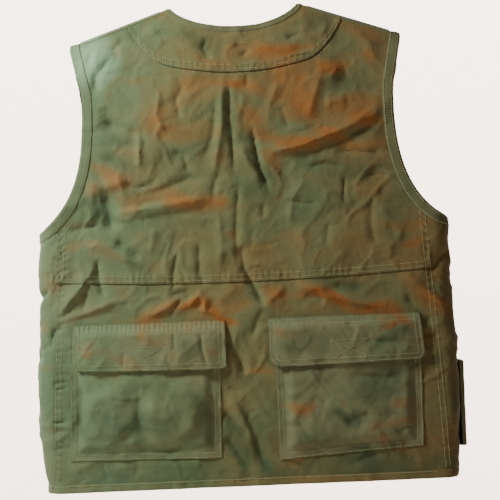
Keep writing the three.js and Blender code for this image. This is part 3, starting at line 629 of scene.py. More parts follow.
def over_shoulder(x: Array, z: Array, y: Array, facing: int) -> tuple[Array, Array]:
    """Rolls cloth above the shoulder line over its round ridge.

    Args:
        x: Across.
        z: Height along the cloth.
        y: Where the cloth lies below the line.
        facing: 1 for the back, -1 for the front.
    Returns:
        The depth and the height after rolling.
    """
    top = PATTERN.shoulder(x)
    front = PATTERN.side_y(top)
    centre, radius = (PATTERN.ridge_y + front) / 2.0, (PATTERN.ridge_y - front) / 2.0
    turn = np.clip((z - top) / radius, 0.0, math.pi / 2)
    over = z > top
    return np.where(over, centre + facing * radius * np.cos(turn), y), np.where(over,
        top + radius * np.sin(turn), z)


ROLL = 8.2  # cloth that each side of a shoulder gives to the ridge


class BackShell(Shell):
    """The back: flat, rounding over to the shoulders at its top."""

    relief = Relief(BACK_FOLDS, tints=BACK_TINTS)

    @property
    def turn(self) -> int:
        """Across and up turn inwards on the back."""
        return -1

    def base(self, p: Array, z: Array) -> Array:
        """The bare back.

        Args:
            p: Across.
            z: Up.
        Returns:
            The points.
        """
        below = np.clip((PATTERN.shoulder(p) - z) / PATTERN.shoulder_roll, 0.0, 1.0)
        y = PATTERN.ridge_y + (PATTERN.back_y - PATTERN.ridge_y) * np.sin(math.pi / 2 * below)
        y, rolled = over_shoulder(p, z, y, 1)
        radius, centre = PATTERN.edge(z)
        turn = np.maximum(np.abs(p) - centre, 0.0) / radius * (z < 400)
        x = np.where(turn > 0, np.sign(p) * (centre + radius * np.sin(turn)), p)
        return np.stack([x, y - radius * (1 - np.cos(turn)), rolled], axis=-1)

    def wrinkles(self, p: Array, z: Array) -> tuple[Array, Array]:
        """The back's folds, with the puckers that the seams draw up.

        Args:
            p: Across.
            z: Up.
        Returns:
            Relief and tint.
        """
        height, tint = self.relief.measure(p, z)
        yoke = PATTERN.yoke_line()
        from_yoke = z - np.interp(p, yoke[::-1, 0], yoke[::-1, 1])
        pucker = np.sin(p * 2 * math.pi / 8.5 + 2.2 * lattice_noise(p / 30, z / 40, 5.0))
        swell = 0.55 + 0.45 * lattice_noise(p / 45, z / 200, 8.0)
        for off in (z - PATTERN.waist_at(p) - 6.0, from_yoke - 5.0):
            height += 0.5 * pucker * swell * np.exp(-((off / 6.5) ** 2))
        side_pucker = np.sin(z * 2 * math.pi / 9.0 + 2.0 * lattice_noise(p / 40, z / 30, 6.0))
        height += 0.5 * side_pucker * np.exp(-(((np.abs(p) - PATTERN.seam_x(z) + 6.0) / 7.0) ** 2)) * (z < 380)
        return height * smooth((PATTERN.shoulder(p) + 2.0 - z) / 25.0) * self.held(p, z), tint


BACK = BackShell(1, ["back"])


class SideShell(Shell):
    """One side: the swinging front, the fold line, the side and the round edge back to the side seam."""

    def __init__(self, side: int) -> None:
        """Args: side is 1 for the wearer's left, -1 for the right."""
        super().__init__(side, ["chest", "cargo"])
        rows = FRONT_FOLDS if side > 0 else tuple(
            Fold(tuple((x + 9.0, z - 14.0) for x, z in f.path), f.height, f.width, f.crisp,
            f.tint) for f in FRONT_FOLDS
        )
        self.relief = Relief(rows, seed=3.0 + side)
        x, y = PATTERN.front_bottom
        self.across = (PATTERN.fold_hem[1] - y) / (PATTERN.fold_hem[0] - x)
        self.level = y - self.across * x
        top_x, top_y, top_z = PATTERN.fold_top
        self.up = (top_y - self.level - self.across * top_x) / top_z

    @property
    def turn(self) -> int:
        """Across and up turn outwards on the left and inwards on its mirror."""
        return self.side

    def from_back(self, p: Array, z: Array) -> Array:
        """Turns a distance along the back's cloth into one along this cloth, or the other way round."""
        radius, centre = PATTERN.edge(z)
        return 2 * centre + math.pi * radius - p

    def across_at(self, x: Array, z: Array, behind: bool) -> Array:
        """How far along the cloth a point of the outline lies.

        Args:
            x: Its distance from the centre line.
            z: Its height.
            behind: True on the back of the round edge.
        Returns:
            The distance along the cloth.
        """
        radius, centre = PATTERN.edge(z)
        lean = radius * np.arcsin(np.clip((x - centre) / radius, 0.0, 1.0))
        if behind:
            return centre + math.pi * radius - lean + np.maximum(centre - x, 0.0)
        return np.where(x > centre, centre + lean, x)

    def base(self, p: Array, z: Array) -> Array:
        """The bare side and front.

        Args:
            p: Along the cloth from the centre front.
            z: Up.
        Returns:
            The points.
        """
        radius, centre = PATTERN.edge(z)
        turn = np.clip((p - centre) / radius, 0.0, math.pi)
        flat, behind = p <= centre, p > centre + math.pi * radius
        x = np.where(flat, p, np.where(behind, 2 * centre + math.pi * radius - p,
            centre + radius * np.sin(turn)))
        front = self.level + self.across * p + self.up * z
        y = np.where(p <= PATTERN.fold_x(z), front, PATTERN.side_y(z))
        y = np.where(flat, y, np.where(behind, PATTERN.back_y, PATTERN.back_y - radius - radius * np.cos(turn)))
        rolled_y, rolled_z = over_shoulder(x, z, y, -1)
        roll = flat & (p > PATTERN.neck_half)
        return np.stack([x * self.side, np.where(roll, rolled_y, y), np.where(roll, rolled_z, z)], axis=-1)

    def wrinkles(self, p: Array, z: Array) -> tuple[Array, Array]:
        """The front's folds, which give way to the back's round the edge.

        Args:
            p: Along the cloth from the centre front.
            z: Up.
        Returns:
            Relief and tint.
        """
        radius, centre = PATTERN.edge(z)
        share = smooth((p - centre) / (math.pi * radius) * 2.0)
        here, tint = self.relief.measure(p, z)
        there, tint_back = BACK.wrinkles(self.side * self.from_back(p, z), z)
        height = here * (1 - share) * self.held(p, z) + there * share
        fade = np.where(p < centre, smooth((PATTERN.shoulder(p) + 2.0 - z) / 25.0), 1.0)
        return height * fade * smooth((p - 6.0) / 14.0), tint * (1 - share) + tint_back * share


SIDES = {1: SideShell(1), -1: SideShell(-1)}
LABEL = {1: "left", -1: "right"}


def metres(points: Array) -> Array:
    """Pattern millimetres as metres in the shared frame."""
    return (points - ORIGIN) * MM


# ---- Finishes -----------------------------------------------------------------------------------


def linear(code: str) -> tuple[float, float, float, float]:
    """An sRGB hex colour as linear light.

    Args:
        code: Six hex digits.
    Returns:
        Red, green, blue and alpha.
    """
    parts = [int(code[i : i + 2], 16) / 255.0 for i in (0, 2, 4)]
    r, g, b = (c / 12.92 if c <= 0.04045 else ((c + 0.055) / 1.055) ** 2.4 for c in parts)
    return (r, g, b, 1.0)


def add_node(tree: bpy.types.NodeTree, kind: str, settings: dict | None = None,
    inputs: dict | None = None) -> bpy.types.Node:
    """Adds a shader node.

    Args:
        tree: The tree to add it to.
        kind: Its class name.
        settings: Properties by name.
        inputs: Sockets by name or index, each given a value, or a socket to link from.
    Returns:
        The node.
    """
    node = tree.nodes.new(kind)
    for key, value in (settings or {}).items():
        setattr(node, key, value)
    for key, value in (inputs or {}).items():
        if isinstance(value, bpy.types.NodeSocket):
            tree.links.new(value, node.inputs[key])
        else:
            node.inputs[key].default_value = value
    return node


def blank_material(name: str) -> tuple[bpy.types.Material, bpy.types.NodeTree]:
    """A new material with an empty tree."""
    material = bpy.data.materials.new(name)
    material.use_nodes = True
    material.node_tree.nodes.clear()
    return material, material.node_tree


@dataclass(frozen=True)
class Twill:
    """Washed cotton twill: matt, softly furred, with olive, green and rust patches, partly fading and partly painted
    light: painted shade in its creases and towards the wearer's right, painted light on its left side, painted warm
    light and sheen on its ridges, and a painted highlight on the left shoulder.
    """

    name: str
    olive: str = "7c6640"
    green: str = "626d4c"
    # rust-brown: partly the cloth's second tone, partly painted warm light and sheen on ridges
    rust: str = "935a2b"
    # painted shade: the dark green that creases and darker patches are painted with
    deep: str = "475338"
    thread_mm: float = 1.3  # real twill lines lie 0.6 mm apart; they are drawn coarser so that they show
    bump: float = 0.35

    def material(self) -> bpy.types.Material:
        """The node material.

        Returns:
            A cotton twill that reads its weave from the cut cloth's own map and its tint, with its painted shade and
            painted warm light, from the wrinkles.
        """
        material, tree = blank_material(self.name)
        place = add_node(tree, "ShaderNodeTexCoord").outputs["Object"]
        cut = add_node(tree, "ShaderNodeUVMap", {"uv_map": "UVMap"}).outputs["UV"]
        tone = add_node(tree, "ShaderNodeAttribute", {"attribute_name": "tone"}).outputs["Fac"]

        patches = add_node(tree, "ShaderNodeTexNoise", None,
            {"Vector": place, "Scale": 8.0, "Detail": 4.0, "Roughness": 0.6})
        blotch = add_node(tree, "ShaderNodeTexNoise", None,
            {"Vector": place, "Scale": 38.0, "Detail": 6.0, "Roughness": 0.65})
        fuzz = add_node(tree, "ShaderNodeTexNoise", None,
            {"Vector": cut, "Scale": 520.0, "Detail": 3.0, "Roughness": 0.7})
        across = add_node(tree, "ShaderNodeSeparateXYZ", None, {"Vector": place}).outputs["X"]
        # painted side light, partly fading too: the cloth leans greener towards the wearer's left and more olive
        # towards the right
        lean = add_node(tree, "ShaderNodeMapRange", None,
            {"Value": across, 1: -0.22, 2: 0.26, 3: -0.35, 4: 0.35})

        fade_and_side_light = add_node(tree, "ShaderNodeMath", {"operation": "MULTIPLY_ADD"},
            {0: patches.outputs["Fac"], 1: 2.6, 2: -0.8})
        fade_and_side_light = add_node(tree, "ShaderNodeMath", {"operation": "ADD", "use_clamp": True},
            {0: fade_and_side_light.outputs[0], 1: lean.outputs[0]})
        base = self.mix(tree, fade_and_side_light.outputs[0], linear(self.olive), linear(self.green))

        # the tint from the wrinkles, with random blotches: it carries the cloth's two tones and painted light, with
        # painted shade where it is negative
        wander = add_node(tree, "ShaderNodeMath", {"operation": "MULTIPLY_ADD"},
            {0: blotch.outputs["Fac"], 1: 1.1, 2: -0.55})
        wear_and_painted_light = add_node(tree, "ShaderNodeMath", {"operation": "ADD"}, {0: tone, 1: wander.outputs[0]})
        # positive tint paints rust: partly the two-tone cloth, partly painted warm light and sheen
        rust_and_painted_sheen = add_node(tree, "ShaderNodeMapRange", None,
            {"Value": wear_and_painted_light.outputs[0], 1: 0.05, 2: 2.1, 3: 0.0, 4: 1.0})
        # painted shade: negative tint darkens the cloth to deep green along creases and in the darker patches
        shaded = add_node(tree, "ShaderNodeMapRange", None,
            {"Value": wear_and_painted_light.outputs[0], 1: -0.1, 2: -1.9, 3: 0.0, 4: 0.9})
        colour = self.mix(tree, rust_and_painted_sheen.outputs[0], base, linear(self.rust))
        colour = self.mix(tree, shaded.outputs[0], colour, linear(self.deep))

        # painted shade: the cloth is painted darker towards the wearer's right, away from the key lamp
        painted_side_shade = add_node(tree, "ShaderNodeMapRange", None, {"Value": across, 1: -0.29, 2: 0.2, 3: 0.64, 4: 1.12})
        # partly fading, partly painted light: the wearer's left side turns a paler, cooler green, towards the key
        # lamp
        fade_and_cool_light = add_node(tree, "ShaderNodeMapRange", None, {"Value": across, 1: 0.08, 2: 0.29, 3: 0.0, 4: 0.45})
        colour = self.mix(tree, fade_and_cool_light.outputs[0], colour, linear("64775f"))
        # painted highlight: a pale green sheen painted on the wearer's left shoulder
        gap = add_node(tree, "ShaderNodeVectorMath", {"operation": "DISTANCE"},
            {0: place, 1: (0.202, 0.012, -0.014)})
        painted_shoulder_highlight = add_node(tree, "ShaderNodeMath", {"operation": "MULTIPLY_ADD"},
            {0: blotch.outputs["Fac"], 1: 0.03, 2: gap.outputs["Value"]})
        painted_shoulder_highlight = add_node(tree, "ShaderNodeMapRange", None,
            {"Value": painted_shoulder_highlight.outputs[0], 1: 0.065, 2: 0.02, 3: 0.0, 4: 0.75})
        colour = self.mix(tree, painted_shoulder_highlight.outputs[0], colour, linear("9bb592"))
        turned = add_node(tree, "ShaderNodeMapping", {"vector_type": "POINT"},
            {"Vector": cut, "Rotation": (0, 0, math.radians(63))})
        rate = 1000.0 / self.thread_mm / 6.2832
        weave = add_node(
            tree, "ShaderNodeTexWave", {"wave_type": "BANDS"},
            {"Vector": turned.outputs[0], "Scale": rate, "Distortion": 2.0, "Detail": 2.0, "Detail Scale": 3.0},
        )
        grain = add_node(tree, "ShaderNodeMath", {"operation": "MULTIPLY"},
            {0: weave.outputs["Fac"], 1: fuzz.outputs["Fac"]})
        value = add_node(tree, "ShaderNodeMapRange", None,
            {"Value": grain.outputs[0], 1: 0.0, 2: 0.8, 3: 0.93, 4: 1.07})
        value = add_node(tree, "ShaderNodeMath", {"operation": "MULTIPLY"},
            {0: value.outputs[0], 1: painted_side_shade.outputs[0]})
        shade = add_node(tree, "ShaderNodeHueSaturation", None, {"Value": value.outputs[0], "Color": colour})

        crumple = add_node(tree, "ShaderNodeTexNoise", None,
            {"Vector": place, "Scale": 70.0, "Detail": 5.0, "Distortion": 0.6})
        soft = add_node(tree, "ShaderNodeBump", None,
            {"Height": crumple.outputs["Fac"], "Strength": self.bump, "Distance": 0.004})
        fine = add_node(
            tree, "ShaderNodeBump", None,
            {"Height": grain.outputs[0], "Strength": 0.3, "Distance": 0.0006, "Normal": soft.outputs[0]},
        )
        shader = add_node(
            tree, "ShaderNodeBsdfPrincipled", None,
            {
                "Base Color": shade.outputs[0], "Roughness": 0.92, "Specular IOR Level": 0.18,
                "Sheen Weight": 0.12, "Sheen Roughness": 0.5, "Normal": fine.outputs[0],
            },
        )
        add_node(tree, "ShaderNodeOutputMaterial", None, {"Surface": shader.outputs[0]})
        return material

    @staticmethod
    def mix(tree: bpy.types.NodeTree, share: bpy.types.NodeSocket, a: object,
        b: object) -> bpy.types.NodeSocket:
        """Blends two colours."""
        return add_node(tree, "ShaderNodeMix", {"data_type": "RGBA"}, {0: share, 6: a, 7: b}).outputs[2]


@dataclass(frozen=True)
class Plain:
    """A plain finish: woven tape, thread, brass or moulded acetal, with fine grain and small wear."""

    name: str
    colour: str
    wear_and_painted_light: str
    roughness: float
    metallic: float = 0.0
    grain: float = 400.0
    bump: float = 0.3
    depth: float = 0.0003
    sheen: float = 0.0

    def material(self) -> bpy.types.Material:
        """The node material.

        Returns:
            A finish whose colour, roughness and bump all vary a little.
        """
        material, tree = blank_material(self.name)
        place = add_node(tree, "ShaderNodeTexCoord").outputs["Object"]
        wear = add_node(tree, "ShaderNodeTexNoise", None, {"Vector": place, "Scale": 90.0, "Detail": 4.0})
        grain = add_node(tree, "ShaderNodeTexNoise", None,
            {"Vector": place, "Scale": self.grain, "Detail": 2.0})
        share = add_node(tree, "ShaderNodeMapRange", None,
            {"Value": wear.outputs["Fac"], 1: 0.4, 2: 0.7, 3: 0.0, 4: 0.8})
        colour = Twill.mix(tree, share.outputs[0], linear(self.colour), linear(self.wear_and_painted_light))
        rough = add_node(
            tree, "ShaderNodeMapRange", None,
            {"Value": grain.outputs["Fac"], 1: 0.2, 2: 0.8, 3: max(self.roughness - 0.08, 0.05),
            4: min(self.roughness + 0.08, 1.0)},
        )
        bump = add_node(tree, "ShaderNodeBump", None,
            {"Height": grain.outputs["Fac"], "Strength": self.bump, "Distance": self.depth})
        shader = add_node(
            tree, "ShaderNodeBsdfPrincipled", None,
            {
                "Base Color": colour, "Roughness": rough.outputs[0], "Metallic": self.metallic,
                "Sheen Weight": self.sheen, "Normal": bump.outputs[0],
            },
        )
        add_node(tree, "ShaderNodeOutputMaterial", None, {"Surface": shader.outputs[0]})
        return material


class Finish(Enum):
    """Every finish on the vest, with the record's slot that it belongs to."""

    BODY = ("body_twill", Twill("washed_cotton_twill"))
    POCKET = ("pocket_twill", Twill("doubled_cotton_twill", olive="7d7355", green="68714f", bump=0.3))
    BINDING = ("binding_twill", Twill("folded_twill_binding", olive="736c4d", green="656b4c", rust="8a6238",
        bump=0.2))
    # woven nylon hook and loop: dull, bristly
    HOOK = ("hook_tape", Plain("woven_nylon_hook_tape", "55523c", "6a664c", 0.9, grain=900.0, bump=0.9,
        depth=0.0012, sheen=0.4))
    # polyester tape: flat and slightly silky
    TAPE = ("zip_tape", Plain("woven_polyester_tape", "4a4736", "5a5642", 0.8, grain=1400.0, bump=0.4,
        sheen=0.2))
    # cast brass: yellow metal that has dulled with handling
    BRASS = ("zip_metal", Plain("aged_cast_brass", "9c8350", "6f5c38", 0.36, metallic=1.0, grain=700.0,
        bump=0.15))
    # acetal: hard plastic with a faint moulded bloom
    ACETAL = ("zip_plastic", Plain("moulded_acetal", "2d2b25", "3a372f", 0.42, grain=1200.0, bump=0.12))
    # spun polyester thread: pale olive, a little glossier than the cloth
    THREAD = ("body_twill", Plain("spun_polyester_thread", "a59c75", "8b8260", 0.7, grain=2500.0, bump=0.3))

    @property
    def slot(self) -> str:
        """The record's material slot."""
        return self.value[0]

    def material(self) -> bpy.types.Material:
        """The finish's material, made once."""
        found = bpy.data.materials.get(self.value[1].name)
        return found or self.value[1].material()


# ---- Meshes -------------------------------------------------------------------------------------


def deselect() -> None:
    """Leaves nothing selected."""
    bpy.ops.object.select_all(action="DESELECT")


def activate(piece: bpy.types.Object) -> None:
    """Makes one object the selected and active one."""
    deselect()
    piece.select_set(True)
    bpy.context.view_layer.objects.active = piece


def apply_modifier(piece: bpy.types.Object, kind: str, **settings: object) -> None:
    """Adds a modifier and applies it.

    Args:
        piece: The object.
        kind: The modifier's type.
        settings: Its properties.
    """
    activate(piece)
    modifier = piece.modifiers.new(kind.lower(), kind)
    for key, value in settings.items():
        setattr(modifier, key, value)
    bpy.ops.object.modifier_apply(modifier=modifier.name)


def grid_piece(name: str, points: Array, uv: Array, tone: Array | None = None) -> bpy.types.Object:
    """A grid of cloth with every crossing at its place.

    Args:
        name: The piece's name.
        points: Crossings in pattern millimetres, by column, row and axis.
        uv: Flat places in millimetres, by column and row.
        tone: Tint at each crossing.
    Returns:
        The new object.
    """
    columns, rows = points.shape[:2]
    deselect()
    bpy.ops.mesh.primitive_grid_add(x_subdivisions=columns - 1, y_subdivisions=rows - 1, size=2.0,
        calc_uvs=True)
    piece = bpy.context.object
    piece.name = piece.data.name = name
    mesh = piece.data
    count = len(mesh.vertices)
    if count != columns * rows:
        raise ValueError(f"{name}: the grid has {count} crossings, not {columns} by {rows}")
    co = np.zeros(count * 3, np.float32)
    mesh.vertices.foreach_get("co", co)
    flat = co.reshape(-1, 3)
    i = np.rint((flat[:, 0] + 1) / 2 * (columns - 1)).astype(int)
    j = np.rint((flat[:, 1] + 1) / 2 * (rows - 1)).astype(int)
    mesh.vertices.foreach_set("co", metres(points[i, j]).astype(np.float32).ravel())
    corner = np.zeros(len(mesh.loops), np.int32)
    mesh.loops.foreach_get("vertex_index", corner)
    mesh.uv_layers[0].name = "UVMap"
    mesh.uv_layers[0].data.foreach_set("uv", (uv[i, j][corner] * MM).astype(np.float32).ravel())
    attribute = mesh.attributes.new("tone", "FLOAT", "POINT")
    values = np.zeros(count, np.float32) if tone is None else tone[i, j].astype(np.float32)
    attribute.data.foreach_set("value", values)
    mesh.update()
    return piece


def face_out(piece: bpy.types.Object, points: Array, normals: Array) -> None:
    """Turns a sheet's faces outwards.

    Args:
        piece: The sheet.
        points: Its grid.
        normals: The outward direction at each crossing.
    """
    a, b = points.shape[0] // 2, points.shape[1] // 2
    across, up = points[a + 1, b] - points[a, b], points[a, b + 1] - points[a, b]
    if np.dot(np.cross(across, up), normals[a, b]) < 0:
        piece.data.flip_normals()


def recalculate(mesh: bpy.types.Mesh, merge: bool = False, cap: bool = False) -> None:
    """Turns a closed mesh's faces outwards.

    Args:
        mesh: The mesh.
        merge: True to join points that coincide.
        cap: True to close its open ends.
    """
    work = bmesh.new()
    work.from_mesh(mesh)
    if merge:
        bmesh.ops.remove_doubles(work, verts=work.verts, dist=1e-6)
    if cap:
        bmesh.ops.holes_fill(work, edges=[e for e in work.edges if e.is_boundary], sides=0)
    bmesh.ops.recalc_face_normals(work, faces=work.faces)
    work.to_mesh(mesh)
    work.free()
    mesh.update()


def smooth_shade(piece: bpy.types.Object, degrees: float = 50.0) -> None:
    """Shades smoothly, except over sharp edges."""
    activate(piece)
    bpy.ops.object.shade_smooth_by_angle(angle=math.radians(degrees))


def dress(piece: bpy.types.Object, finish: Finish) -> None:
    """Gives a piece its finish."""
    piece.data.materials.clear()
    piece.data.materials.append(finish.material())
    finish.slot


def attach(piece: bpy.types.Object, body: str, nodes: Sequence[str] = ()) -> bpy.types.Object:
    """Rides a piece on a body and lets it stand for frame nodes.

    Args:
        piece: The piece.
        body: The body it moves with.
        nodes: Nodes it replaces.
    Returns:
        The piece.
    """
    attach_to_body(piece, body)
    if nodes:
        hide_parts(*nodes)
    LOG.info("%s: %d faces on %s", piece.name, len(piece.data.polygons), body)
    return piece


def hinge_blend(piece: bpy.types.Object, side: int, nodes: Sequence[str] = ()) -> bpy.types.Object:
    """Bakes a sheet's place into its mesh and hides the nodes it replaces; the fold line it works out is not used.

    Args:
        piece: The piece.
        side: Which front.
        nodes: Nodes it replaces.
    Returns:
        The piece.
    """
    top = metres(np.array(PATTERN.fold_top) * [side, 1, 1])
    hem = metres(np.array(PATTERN.fold_hem) * [side, 1, 1])
    zip_foot = metres(np.array([*PATTERN.front_bottom, 0.0]) * [side, 1, 1])
    line = Vector(top - hem).normalized()
    to_zip = Vector(zip_foot - hem)
    to_zip = (to_zip - line * to_zip.dot(line)).normalized() * 0.011
    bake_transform(piece)
    if nodes:
        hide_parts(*nodes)
    LOG.info("%s: %d faces, bending at the fold", piece.name, len(piece.data.polygons))
    return piece


@dataclass
class Sheet:
    """A piece of cloth: a grid of flat stations laid on a shell by a placing function."""

    name: str
    shell: Shell
    u: Array
    v: Array
    place: Place
    finish: Finish = Finish.BODY
    thick: float = 1.2
    extra: Relief | None = None

    def build(self) -> bpy.types.Object:
        """Makes the cloth, thick and dressed.

        Returns:
            The object, which rides on nothing yet.
        """
        uu, vv = np.meshgrid(self.u, self.v, indexing="ij")
        p, z, lift = self.place(uu, vv)
        height, tone = self.shell.wrinkles(p, z)
        if self.extra is not None:
            more, tint = self.extra.measure(p * (self.shell.side if isinstance(self.shell, SideShell) else 1),
                z)
            height, tone = height + more, tone + tint
        normal = self.shell.normal(p, z)
        self.points = self.shell.base(p, z) + normal * (height + lift)[..., None]
        piece = grid_piece(self.name, self.points, np.stack([p, z], -1), tone)
        face_out(piece, self.points, normal)
        apply_modifier(piece, "SOLIDIFY", thickness=self.thick * MM, offset=-1.0, use_even_offset=False)
        smooth_shade(piece)
        dress(piece, self.finish)
        return piece

    def declare(self, piece: bpy.types.Object) -> None:
        """Args:
            piece: The built object.
        """
        step_u = np.linalg.norm(np.diff(self.points, axis=0), axis=-1) * MM
        step_v = np.linalg.norm(np.diff(self.points, axis=1), axis=-1) * MM
        width, length = float(step_u.sum(0).max()), float(step_v.sum(1).max())
        a, b, c, d = self.points[:-1, :-1], self.points[1:, :-1], self.points[1:, 1:], self.points[:-1, 1:]
        quads = np.linalg.norm(np.cross(c - a, d - b), axis=-1) / 2.0
        area = min(float(quads.sum()) * MM * MM, width * length)
        LOG.info("%s: cut %.0f by %.0f mm, %.4f m2", piece.name, width / MM, length / MM, area)


def rib(name: str, rings: Array, closed: bool, finish: Finish) -> bpy.types.Object:
    """A closed section carried along a line, such as a folded binding.

    Args:
        name: The piece's name.
        rings: Points by station, section place and axis, in pattern millimetres.
        closed: True where the line closes on itself.
        finish: Its finish.
    Returns:
        The object, with its seam and ends closed.
    """
    grid = np.concatenate([rings, rings[:, :1]], axis=1)
    if closed:
        grid = np.concatenate([grid, grid[:1]], axis=0)
    along = np.concatenate([[0.0], np.cumsum(np.linalg.norm(np.diff(grid[:, 0], axis=0), axis=1))])
    round_it = np.concatenate([[0.0], np.cumsum(np.linalg.norm(np.diff(grid[0], axis=0), axis=1))])
    uv = np.stack(np.broadcast_arrays(along[:, None], round_it[None, :]), -1)
    tone = 0.3 * lattice_noise(grid[..., 0] / 30, grid[..., 2] / 30, 4.0)
    piece = grid_piece(name, grid, uv, tone)
    recalculate(piece.data, merge=True, cap=not closed)
    smooth_shade(piece, 60.0)
    dress(piece, finish)
    return piece


@dataclass(frozen=True)
class Track:
    """A line on a shell with the direction into the cloth beside it."""

    shell: Shell
    line: Array
    inward: int

    def normals(self) -> Array:
        """The flat direction into the cloth at each station."""
        along = np.gradient(self.line, axis=0)
        along /= np.linalg.norm(along, axis=1, keepdims=True)
        return self.inward * np.stack([along[:, 1], -along[:, 0]], axis=1)

    def ring(self, section: Sequence[tuple[float, float]]) -> Array:
        """Places a section at each station.

        Args:
            section: Distance into the cloth, and lift, of each point of the section.
        Returns:
            Points by station and section place.
        """
        into = self.normals()
        rings = []
        for inset, lift in section:
            at = self.line + into * inset
            rings.append(self.shell.at(at[:, 0], at[:, 1], np.full(len(at), lift)))
        return np.stack(rings, axis=1)


def folded_section(width: float, proud: float, cloth: float = 1.2) -> list[tuple[float, float]]:
    """The section of a binding folded over an edge.

    Args:
        width: How far it covers the cloth.
        proud: How far it stands off each face.
        cloth: The thickness that it holds.
    Returns:
        Points of inset and lift, all the way round.
    """
    under = -cloth - proud
    return [
        (width, -0.1), (width - 0.8, proud * 0.75), (width * 0.66, proud), (width * 0.33, proud * 1.1),
        (1.0, proud), (-0.7, proud * 0.4), (-1.3, -cloth / 2), (-0.7, under + proud * 0.6),
        (1.0, under), (width * 0.5, under - 0.1), (width - 0.8, under + 0.2), (width, -cloth + 0.1),
    ]


@dataclass
class Stitching:
    """Rows of stitches that ride together."""

    name: str
    pitch: float = 3.7
    length: float = 3.2
    radius: float = 0.45
    spots: list[tuple[Array, Array, Array]] = field(default_factory=list)

    def row(self, shell: Shell, place: Place, line: Array, lift: float = 0.3,
        extra: Relief | None = None) -> None:
        """Adds a row along a line.

        Args:
            shell: The shell that the cloth lies on.
            place: How flat stations are laid.
            line: The row, in the flat stations of that placing.
            lift: How far the thread stands above the cloth.
            extra: Wrinkles that the cloth has of its own.
        """
        reach = np.linalg.norm(np.diff(line, axis=0), axis=1).sum()
        even = resample(line, max(int(reach / (self.pitch / 4.0)), 8))
        p, z, rise = place(even[:, 0], even[:, 1])
        if extra is not None:
            rise = rise + extra.measure(p * (shell.side if isinstance(shell, SideShell) else 1), z)[0]
        points = shell.at(p, z, rise + lift)
        normals = shell.normal(p, z)
        length = np.concatenate([[0.0], np.cumsum(np.linalg.norm(np.diff(points, axis=0), axis=1))])
        count = max(int(length[-1] / self.pitch), 1)
        middle = (np.arange(count) + 0.5) * length[-1] / count

        def along(distance: Array) -> Array:
            """Points at distances along the row."""
            return np.stack([np.interp(distance, length, points[:, k]) for k in range(3)], 1)

        ahead = along(middle + 1.0) - along(middle - 1.0)
        up = np.stack([np.interp(middle, length, normals[:, k]) for k in range(3)], 1)
        self.spots.append((along(middle), ahead, up))

    def build(self) -> bpy.types.Object:
        """Makes every stitch from one small thread shape.

        Returns:
            The object.
        """
        deselect()
        bpy.ops.mesh.primitive_ico_sphere_add(subdivisions=1, radius=1.0)
        seed = bpy.context.object
        shape = np.array([v.co for v in seed.data.vertices])
        faces = np.array([list(f.vertices) for f in seed.data.polygons])
        bpy.data.objects.remove(seed)
        centre, ahead, up = (np.concatenate([s[k] for s in self.spots]) for k in range(3))
        ahead /= np.linalg.norm(ahead, axis=1, keepdims=True)
        across = np.cross(up, ahead)
        across /= np.linalg.norm(across, axis=1, keepdims=True)
        up = np.cross(ahead, across)
        size = np.array([self.length / 2, self.radius, self.radius * 0.8])
        scaled = shape * size
        points = centre[:, None] + sum(scaled[None, :, k, None] * axis[:, None] for k,
            axis in enumerate((ahead, across, up)))
        mesh = bpy.data.meshes.new(self.name)
        all_faces = (faces[None] + (np.arange(len(centre)) * len(shape))[:, None, None]).reshape(-1, 3)
        mesh.from_pydata(metres(points.reshape(-1, 3)).tolist(), [], all_faces.tolist())
        piece = bpy.data.objects.new(self.name, mesh)
        bpy.context.scene.collection.objects.link(piece)
        for face in mesh.polygons:
            face.use_smooth = True
        dress(piece, Finish.THREAD)
        return piece


def on_pattern(lift: Callable[[Array, Array], Array] | float) -> Place:
    """A placing whose flat stations are the pattern's own millimetres."""

    def place(u: Array, v: Array) -> tuple[Array, Array, Array]:
        """Lays stations where they are."""
        return u, v, lift(u, v) if callable(lift) else np.full_like(u, lift)

    return place


def ruled(bottom: Array, top: Array, lift: Callable[[Array, Array], Array]) -> Place:
    """A placing that runs straight lines from a bottom edge to a top edge.

    Args:
        bottom: The bottom edge, one row a column of cloth.
        top: The top edge, with as many rows.
        lift: The lift at a place on the pattern.
    Returns:
        The placing, for stations of column number and share of height.
    """
    number = np.arange(len(bottom))

    def place(u: Array, v: Array) -> tuple[Array, Array, Array]:
        """Lays stations between the edges."""
        low = [np.interp(u, number, bottom[:, k]) for k in range(2)]
        high = [np.interp(u, number, top[:, k]) for k in range(2)]
        p, z = (a + (b - a) * v for a, b in zip(low, high))
        return p, z, lift(p, z)

    return place


# ---- The back -----------------------------------------------------------------------------------


